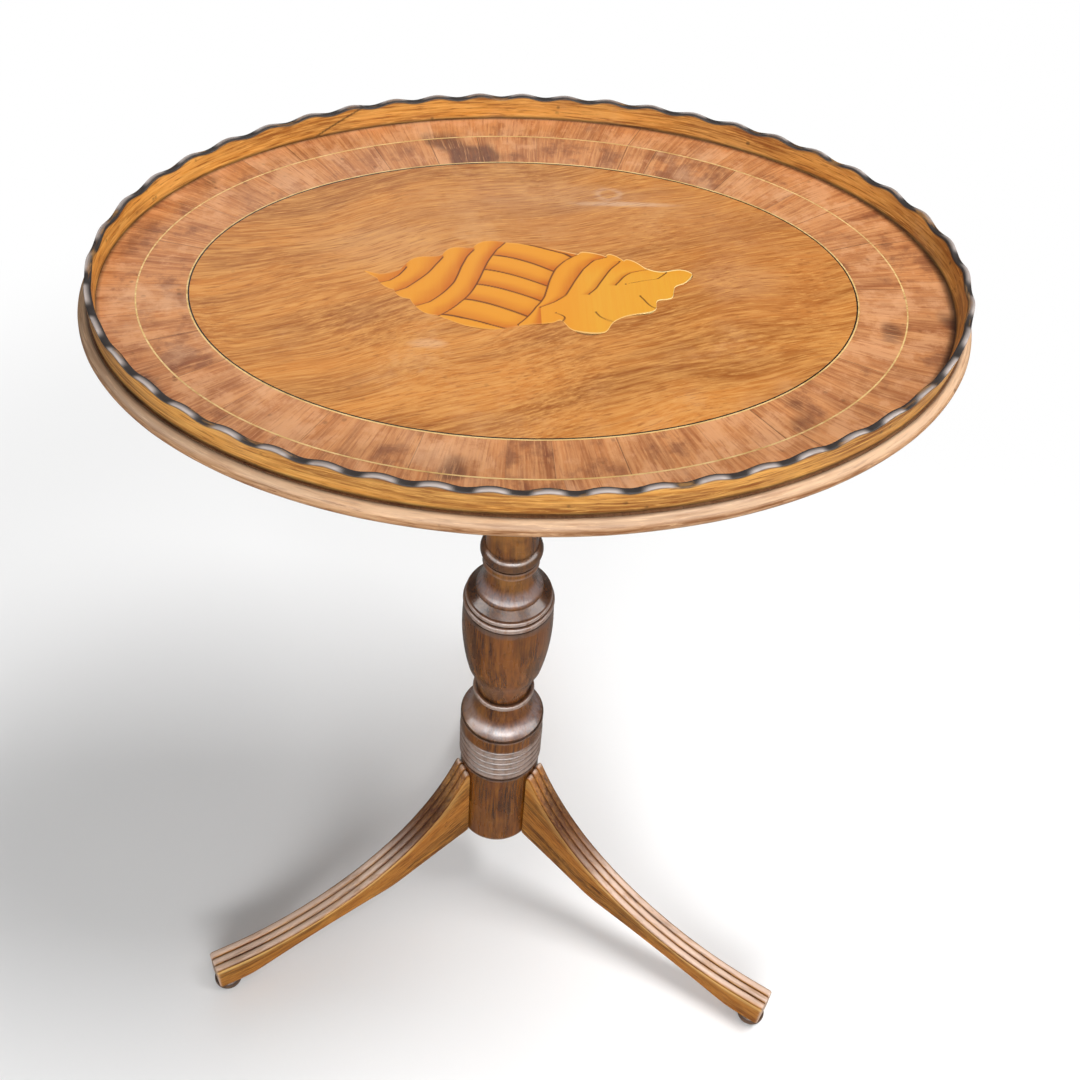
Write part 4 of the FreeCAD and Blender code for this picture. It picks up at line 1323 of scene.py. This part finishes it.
@dataclass
class SabreLeg:
    """One swept leg with three reeds along its top, drawn along X and turned to its place."""

    side: str
    turn: float
    width: float = 21.0 * MM
    reach: float = 280.0 * MM
    start: float = 34.2 * MM
    knee: float = 199.0 * MM
    knee_reach: float = 36.0 * MM
    hollow: float = 42.0 * MM
    toe_length: float = 20.0 * MM
    toe: float = 43.0 * MM
    sole: float = 10.0 * MM
    sole_length: float = 30.0 * MM
    arch_reach: float = 111.0 * MM
    arch: float = 57.0 * MM
    arch_hollow: float = 3.0 * MM
    heel: float = 100.8 * MM
    reed_depth: float = 3.1 * MM
    nose: float = 9.0 * MM
    edge_round: float = 1.2 * MM
    end_round: float = 0.8 * MM
    reeds: int = 3
    reed_points: int = 61
    side_points: int = 12
    sweep_points: int = 90
    arch_points: int = 40
    ease_points: int = 31
    reed_share: float = 0.97
    nose_share: float = 0.98
    nose_drop: float = 0.6
    toe_wear: float = 0.8
    knee_crest_share: float = 0.1
    knee_highlight: float = 0.35
    knee_darkening: float = 0.72
    body: str = "base"

    @staticmethod
    def spaced(points: np.ndarray, count: int) -> np.ndarray:
        """Points spaced evenly along a run of points.

        Args:
            points: The run.
            count: Number of points wanted.

        Returns:
            The spaced points.
        """
        reach = np.concatenate([[0.0], np.cumsum(np.hypot(*np.diff(points, axis=0).T))])
        even = np.linspace(0.0, reach[-1], count)
        return np.stack([np.interp(even, reach, points[:, k]) for k in (0, 1)], axis=1)

    def edges(self, count: int) -> tuple[np.ndarray, np.ndarray]:
        """Top and lower edge of the leg from the column to the toe, the lower one eased over a few millimetres.

        Args:
            count: Number of sections.

        Returns:
            Points of the top edge and of the lower edge, as reach and height.
        """
        toe_start, sole_start = self.reach - self.toe_length, self.reach - self.sole_length
        sweep = arc_points((self.knee_reach, self.knee), (toe_start, self.toe), self.hollow, self.sweep_points)
        top = np.concatenate([[(self.start, self.knee)], sweep, [(toe_start, self.toe), (self.reach, self.toe)]])
        arch_start, sole_end = (self.arch_reach, self.arch), (sole_start, self.sole)
        arch = arc_points(arch_start, sole_end, -self.arch_hollow, self.arch_points)
        under = np.concatenate([[(self.start, self.heel)], arch, [sole_end, (self.reach, self.sole)]])
        under = self.spaced(under, count)
        window = np.hanning(self.ease_points) / np.hanning(self.ease_points).sum()
        edge = self.ease_points // 2
        padded = np.concatenate([2 * under[:1] - under[edge:0:-1], under, 2 * under[-1:] - under[-2:-2 - edge:-1]])
        eased = np.stack([np.convolve(padded[:, k], window, "valid") for k in (0, 1)], axis=1)
        eased[[0, -1]] = under[[0, -1]]
        return self.spaced(top, count), eased

    def build(self, sections: int = 220) -> bpy.types.Object:
        """Skin sections that stand between the lower and the top edge.

        Across the top the height falls from each reed's crown by the reed's depth times one minus the root of one
        minus the squared share of the half reed. The crowns round over towards the column.

        Args:
            sections: Number of sections along the leg.

        Returns:
            The leg piece.
        """
        top, under = self.edges(sections)
        across = np.linspace(-0.5, 0.5, self.reed_points)
        inside = (across * self.reeds + self.reeds / 2) % 1.0 - 0.5
        inside[[0, -1]] = -0.5
        drop = self.reed_depth * (1.0 - np.sqrt(np.clip(1.0 - (2.0 * inside) ** 2 * self.reed_share, 0.0, 1.0)))
        rise = top - under
        tall = np.hypot(*rise.T)
        unit = rise / tall[:, None]
        travel = np.concatenate([[0.0], np.cumsum(np.hypot(*np.diff(top, axis=0).T))])
        nose = np.clip(1.0 - travel / self.nose, 0.0, 1.0)
        crown = tall - self.nose * self.nose_drop * (1.0 - np.sqrt(1.0 - nose**2 * self.nose_share))
        lid = crown[:, None] - drop
        side = np.linspace(0.98, 0.04, self.side_points)
        level = np.concatenate([lid, lid[:, -1:] * side, np.zeros((sections, 2)), lid[:, :1] * side[::-1]], axis=1)
        edge = 0.5 - self.edge_round / self.width
        flank = np.full(self.side_points, 0.5)
        place = np.concatenate([across, flank, [edge, -edge], -flank]) * self.width
        end = np.clip(1.0 - (travel[-1] - travel) / (2.0 * self.end_round), 0.0, 1.0)[:, None]
        middle = (crown / 2)[:, None]
        level = middle + (level - middle) * (1.0 - end * self.end_round / middle)
        side_way = place[None, :] * (1.0 - end * self.end_round / (self.width / 2))
        reach = under[:, :1] + unit[:, :1] * level
        height = under[:, 1:] + unit[:, 1:] * level
        cos, sin = np.cos(self.turn), np.sin(self.turn)
        rings = vectors(reach * cos - side_way * sin, reach * sin + side_way * cos, height)
        off_lid = np.zeros(place.size - across.size)
        crest = np.concatenate([smooth(0.45, 0.03, drop / self.reed_depth), off_lid])
        # Painted shade in the grooves between the reeds.
        groove_shade = np.concatenate([smooth(0.32, 0.8, drop / self.reed_depth), off_lid])
        groove_shade[[0, across.size - 1]] = 0.0
        # Painted highlight along the top arrises, weaker near the knee.
        arris_highlight = smooth(0.8, 0.95, side)
        arris_highlight = np.concatenate([np.zeros(across.size), arris_highlight, np.zeros(2), arris_highlight[::-1]])
        on_lid = np.arange(place.size) < across.size
        low_down = smooth(70.0 * MM, 140.0 * MM, travel)[:, None]
        # Darker along the reeds from 15 to 150 mm along the top.
        dark = (smooth(15.0 * MM, 60.0 * MM, travel) * smooth(150.0 * MM, 100.0 * MM, travel))[:, None]
        # Reed crests and noses get wear together with a painted highlight, weaker near the knee.
        nose_wear_and_highlight = smooth(self.nose, 0.4 * self.nose, travel)[:, None]
        crest_strength = self.knee_crest_share + (1.0 - self.knee_crest_share) * low_down
        marks = {
            "grain": vectors(travel[:, None] + self.turn, side_way, level),
            "wear_and_painted_light": np.maximum(crest * np.maximum(crest_strength, nose_wear_and_highlight), end * self.toe_wear),
            "rub_and_highlight": arris_highlight * (self.knee_highlight + (1.0 - self.knee_highlight) * low_down),
            "dirt_and_painted_shade": np.clip(groove_shade + self.knee_darkening * dark * on_lid, 0.0, 1.0),
        }
        return loft("sabre_leg_" + self.side, rings, False, marks)

    def make(self, finish: Finishes) -> None:
        """Build the leg and dress it."""
        dress(self.build(), finish["leg_mahogany"], self.body, "leg_mahogany", "leg_" + self.side)


@dataclass
class ButtonFoot:
    """Dark turned foot under a leg's toe."""

    side: str
    base: float = 8.5 * MM
    swell: float = 3.5 * MM
    spigot: float = 4.0 * MM
    edge_round: float = 0.8 * MM
    side_points: int = 20
    body: str = "base"

    def build(self, segments: int = 72) -> bpy.types.Object:
        """Turn the foot's profile: a flat base, a swelling side and a spigot in the leg.

        Args:
            segments: Points round the foot.

        Returns:
            The foot piece.
        """
        low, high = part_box("foot_" + self.side)
        centre = (low + high) / 2
        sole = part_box("leg_" + self.side)[0][2]
        profile = np.concatenate([
            [(1.0 * MM, low[2]), (self.base - self.edge_round, low[2])],
            arc_points((self.base, low[2] + 0.3 * MM), (self.base, sole), self.swell, self.side_points),
            [(self.base, sole - 0.05 * MM), (self.spigot, sole), (self.spigot, high[2])],
        ])
        points = turned(profile, segments, centre[:2])
        wear_and_painted_light = smooth(self.base + 2.4 * MM, self.base + 3.4 * MM, profile[:, :1])
        return loft("button_foot_" + self.side, points, False, {"grain": upright_grain(points), "wear_and_painted_light": wear_and_painted_light})

    def make(self, finish: Finishes) -> None:
        """Build the foot and dress it."""
        dress(self.build(), finish["foot_wood"], self.body, "foot_wood", "foot_" + self.side)


@dataclass(frozen=True)
class Lamp:
    """Area lamp that looks at the table; a lamp for sheen alone lights no matt surface."""

    name: str
    place: tuple[float, float, float]
    size: tuple[float, float]
    power: float
    sheen_only: bool = False


LAMPS = (
    Lamp("key_lamp", (1.3, -0.1, 3.6), (1.2, 1.2), 102.0),
    Lamp("front_lamp", (0.1, -2.1, 1.45), (2.0, 0.4), 36.0),
    Lamp("back_lamp", (-0.4, 2.2, 2.0), (1.4, 1.4), 8.0),
    Lamp("sheen_lamp", (-0.1, -1.8, 1.15), (3.6, 1.0), 72.0, sheen_only=True),
    Lamp("left_sheen_lamp", (-2.0, -0.8, 1.15), (2.2, 1.0), 40.0, sheen_only=True),
    Lamp("right_sheen_lamp", (1.9, -0.85, 1.15), (2.2, 1.0), 40.0, sheen_only=True),
)


@dataclass
class Studio:
    """Pale floor, soft lamps and the camera."""

    azimuth: float = np.radians(6.05)
    elevation: float = np.radians(48.9)
    roll: float = np.radians(4.67)
    place: tuple[float, float] = (-53.66 * MM, -697.24 * MM)
    above_top: float = 569.43 * MM
    focal_share: float = 1459.34 / 1080.0
    sensor: float = 36.0
    aim: tuple[float, float, float] = (0.0, 0.0, 0.5)
    floor_half: float = 6.0
    floor_pale: tuple[float, float, float, float] = (0.86, 0.86, 0.86, 1.0)
    floor_reflected: tuple[float, float, float, float] = (0.14, 0.13, 0.12, 1.0)
    floor_rough: float = 0.9
    floor_middle: tuple[float, float, float] = (-0.08, 0.08, 0.0)
    floor_fade: tuple[float, float] = (0.55, 1.0)
    world_light: float = 0.24
    world_reflected: float = 0.14

    def build_floor(self) -> None:
        """Lay a large pale floor that keeps the shadow, is plain white away from the table and clear from below."""
        half = self.floor_half
        mesh = bpy.data.meshes.new("studio_floor")
        mesh.from_pydata([(-half, -half, 0), (half, -half, 0), (half, half, 0), (-half, half, 0)], [], [(0, 1, 2, 3)])
        floor = add_object("studio_floor", mesh)
        material, book, shader = new_material("floor_white")
        path = book.add("ShaderNodeLightPath").outputs
        shown = book.mix(path["Is Glossy Ray"], self.floor_pale, self.floor_reflected)
        book.put(shader, Base_Color=shown, Roughness=self.floor_rough)
        distance = book.add("ShaderNodeVectorMath", {"operation": "DISTANCE"}, _0=book.place(), _1=self.floor_middle)
        away = book.span(distance.outputs["Value"], *self.floor_fade)
        seen = book.times(away, path["Is Camera Ray"])
        white = book.add("ShaderNodeEmission", Color=WHITE, Strength=1.0)
        both = book.add("ShaderNodeMixShader", _0=seen, _1=shader.outputs[0], _2=white.outputs[0])
        clear = book.add("ShaderNodeBsdfTransparent")
        below = book.add("ShaderNodeNewGeometry").outputs["Backfacing"]
        whole = book.add("ShaderNodeMixShader", _0=below, _1=both.outputs[0], _2=clear.outputs[0])
        book.put(material.node_tree.nodes["Material Output"], Surface=whole.outputs[0])
        mesh.materials.append(material)

    def build_lamps(self) -> None:
        """Hang the lamps, and set a plain world that looks white to the camera."""
        world = bpy.data.worlds.new("studio_world")
        bpy.context.scene.world = world
        world.use_nodes = True
        book = NodeBook(world.node_tree)
        path = book.add("ShaderNodeLightPath").outputs
        soft = book.span(path["Is Glossy Ray"], 0.0, 1.0, self.world_light, self.world_reflected)
        strength = book.math("MAXIMUM", soft, path["Is Camera Ray"])
        book.put(world.node_tree.nodes["Background"], Color=WHITE, Strength=strength)
        for lamp in LAMPS:
            light = bpy.data.lights.new(lamp.name, "AREA")
            light.shape = "RECTANGLE"
            light.size, light.size_y = lamp.size
            light.energy = lamp.power
            item = add_object(lamp.name, light)
            item.location = lamp.place
            item.visible_diffuse = not lamp.sheen_only
            item.rotation_euler = Matrix(self.axes(np.subtract(self.aim, lamp.place), 0.0)).to_euler()

    @staticmethod
    def axes(forward: np.ndarray, roll: float) -> list[list[float]]:
        """Rows of the turn that looks along a direction.

        Args:
            forward: Direction of view.
            roll: Turn about it.

        Returns:
            Three rows whose columns are right, up and back.
        """
        forward = np.asarray(forward) / np.linalg.norm(forward)
        right = np.array([forward[1], -forward[0], 0.0]) / np.hypot(forward[0], forward[1])
        up = np.cross(right, forward)
        turned = right * np.cos(roll) + up * np.sin(roll)
        return np.stack([turned, np.cross(turned, forward), -forward], axis=1).tolist()

    def build_camera(self) -> None:
        """Set the camera at the measured place, angle and lens."""
        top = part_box("field_veneer")[1][2]
        flat = np.cos(self.elevation)
        forward = np.array([flat * np.sin(self.azimuth), flat * np.cos(self.azimuth), -np.sin(self.elevation)])
        lens = bpy.data.cameras.new("view_camera")
        lens.sensor_width = self.sensor
        lens.lens = self.sensor * self.focal_share
        camera = add_object("view_camera", lens)
        camera.location = (*self.place, top + self.above_top)
        camera.rotation_euler = Matrix(self.axes(forward, self.roll)).to_euler()
        bpy.context.scene.camera = camera
        bpy.context.scene.view_settings.view_transform = "Standard"


FIELD_STAINS = (
    Stain((150.0 * MM, 20.0 * MM), (80.0 * MM, 90.0 * MM), 0.4, "a5612f"),
    Stain((40.0 * MM, 75.0 * MM), (210.0 * MM, 60.0 * MM), 0.45, "a06a40"),
    Stain((20.0 * MM, 92.0 * MM), (110.0 * MM, 24.0 * MM), 0.08),
    Stain((68.0 * MM, 86.0 * MM), (46.0 * MM, 4.0 * MM), 0.28, "e2cfb8"),
    Stain((57.0 * MM, 97.0 * MM), (12.0 * MM, 10.0 * MM), 0.28, "e6d8c6", hollow=0.75),
    Stain((-90.0 * MM, 40.0 * MM), (70.0 * MM, 34.0 * MM), 0.3, "cf9f6c"),
    Stain((130.0 * MM, 10.0 * MM), (40.0 * MM, 30.0 * MM), 0.2, "d3a878"),
    Stain((-60.0 * MM, -52.0 * MM), (16.0 * MM, 6.0 * MM), 0.3),
)


class TeaTable:
    """The whole table: its finishes and its sub-assemblies."""

    def __init__(self) -> None:
        """Make every finish once."""
        effects = Effects()
        finishes = (
            WoodFinish("field_mahogany", "864815", "bc7631", "cd9450", Flow.SLANT, broad=30.0, fine=420.0, sway=0.055,
                       pale=0.45, pale_colour="cd9b66", speck=0.15, rough=(0.3, 0.52), coat=0.08, fleck=0.6,
                       stains=FIELD_STAINS),
            WoodFinish("crossband_mahogany", "8f5430", "b97846", "cb9260", Flow.SURFACE, broad=60.0, pale=0.5,
                       pale_colour="d2a37c", speck=0.35, pieces=True, rough=(0.3, 0.52), coat=0.08),
            WoodFinish("gallery_mahogany", "82460f", "cf8c38", "e3ab58", Flow.SURFACE, broad=70.0, fine=520.0, pale=0.2,
                       speck=0.6, wear_and_light_colour="29221f", wear_and_painted_light=1.25, highlight_colour="aca09a", rough=(0.36, 0.58), coat=0.06,
                       fleck=0.75),
            WoodFinish("bead_mahogany", "7d4e2a", "bd8c60", "d2a880", Flow.SURFACE, pale=0.3, speck=0.8,
                       wear_and_light_colour="ccb296", rough=(0.3, 0.5), coat=0.04, shine=0.12, fleck=0.9),
            WoodFinish("column_mahogany", "311507", "723d0f", "965a18", Flow.SURFACE, broad=55.0, pale=0.45,
                       pale_colour="b27a34", speck=0.3, wear_and_light_colour="a8958b", wear_and_painted_light=0.85, highlight_colour="cdc5cb",
                       rough=(0.22, 0.36), coat=0.85, coat_rough=0.2, shine=0.25, dirt_and_shade_colour="140904", fleck=0.4),
            WoodFinish("leg_mahogany", "451e06", "98581a", "c5873a", Flow.SURFACE, broad=45.0, pale=0.5,
                       pale_colour="cf9644", speck=0.6, wear_and_light_colour="dabda9", wear_and_painted_light=0.95, highlight_colour="e0b46c",
                       rough=(0.3, 0.46), coat=0.15, coat_rough=0.15, shine=0.15, dirt_and_shade_colour="381106", fleck=0.7),
            WoodFinish("foot_wood", "20130a", "3a2415", "543822", Flow.SURFACE, pale=0.05, wear_and_light_colour="6a5240"),
            WoodFinish("dry_mahogany_x", "5f3a22", "7c5233", "97704b", Flow.PLANK_X, pale=0.2, rough=(0.6, 0.8),
                       coat=0.0, bump=0.3),
            WoodFinish("dry_mahogany_y", "5a361f", "774d2f", "906947", Flow.PLANK_Y, pale=0.2, rough=(0.6, 0.8),
                       coat=0.0, bump=0.3),
            WoodFinish("pin_oak", "6b4a2a", "8f6a41", "a98458", Flow.PLANK_X, rough=(0.55, 0.75), coat=0.0),
            WoodFinish("boxwood_line", "b18a4c", "d2ad6c", "e4c88f", Flow.PLANK_X, pale=0.1, speck=0.3),
            WoodFinish("ebony_line", "140d09", "20150f", "2f2118", Flow.PLANK_X, pale=0.05),
            ShellFinish("shell_satinwood"),
            MetalFinish("aged_brass", "b08d4a", "6d5128"),
            MetalFinish("aged_steel", "6a6560", "3a332c"),
        )
        self.finish = {finish.name: finish.build(effects) for finish in finishes}

    def build(self) -> None:
        """Build and dress the sub-assemblies; a leg points at its foot's place in the CAD."""
        TrayTop().make(self.finish)
        Shell().make(self.finish)
        Column().make(self.finish)
        for side in ("left", "right", "back"):
            low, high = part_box("foot_" + side)
            turn = float(np.arctan2(low[1] + high[1], low[0] + high[0]))
            reach = float(np.hypot(low[0] + high[0], low[1] + high[1]) / 2 + FOOT_INSET)
            SabreLeg(side, turn, reach=reach).make(self.finish)
            ButtonFoot(side).make(self.finish)

    def redress_nodes(self) -> None:
        """Give the CAD pieces that keep their shape their finishes."""
        for finish, nodes in {
            "field_mahogany": ("field_veneer",),
            "dry_mahogany_x": ("top_board", "tilt_block", "tenon_wedge"),
            "dry_mahogany_y": ("bearer_left", "bearer_right"),
            "pin_oak": ("pivot_pin_left", "pivot_pin_right"),
            "boxwood_line": ("inner_string_box", "outer_string"),
            "ebony_line": ("inner_string_ebony",),
            "aged_brass": ("catch_plate", "catch_bolt", "keeper_plate"),
            "aged_steel": ("bearer_screws", "catch_screws", "keeper_screws"),
        }.items():
            for node in nodes:
                redress(node, self.finish[finish])


def main() -> None:
    """Build the table and its studio."""
    logging.basicConfig(level=logging.INFO, format="%(name)s: %(message)s")
    table = TeaTable()
    table.build()
    table.redress_nodes()
    studio = Studio()
    studio.build_floor()
    studio.build_lamps()
    studio.build_camera()


if __name__ == "__main__":
    main()
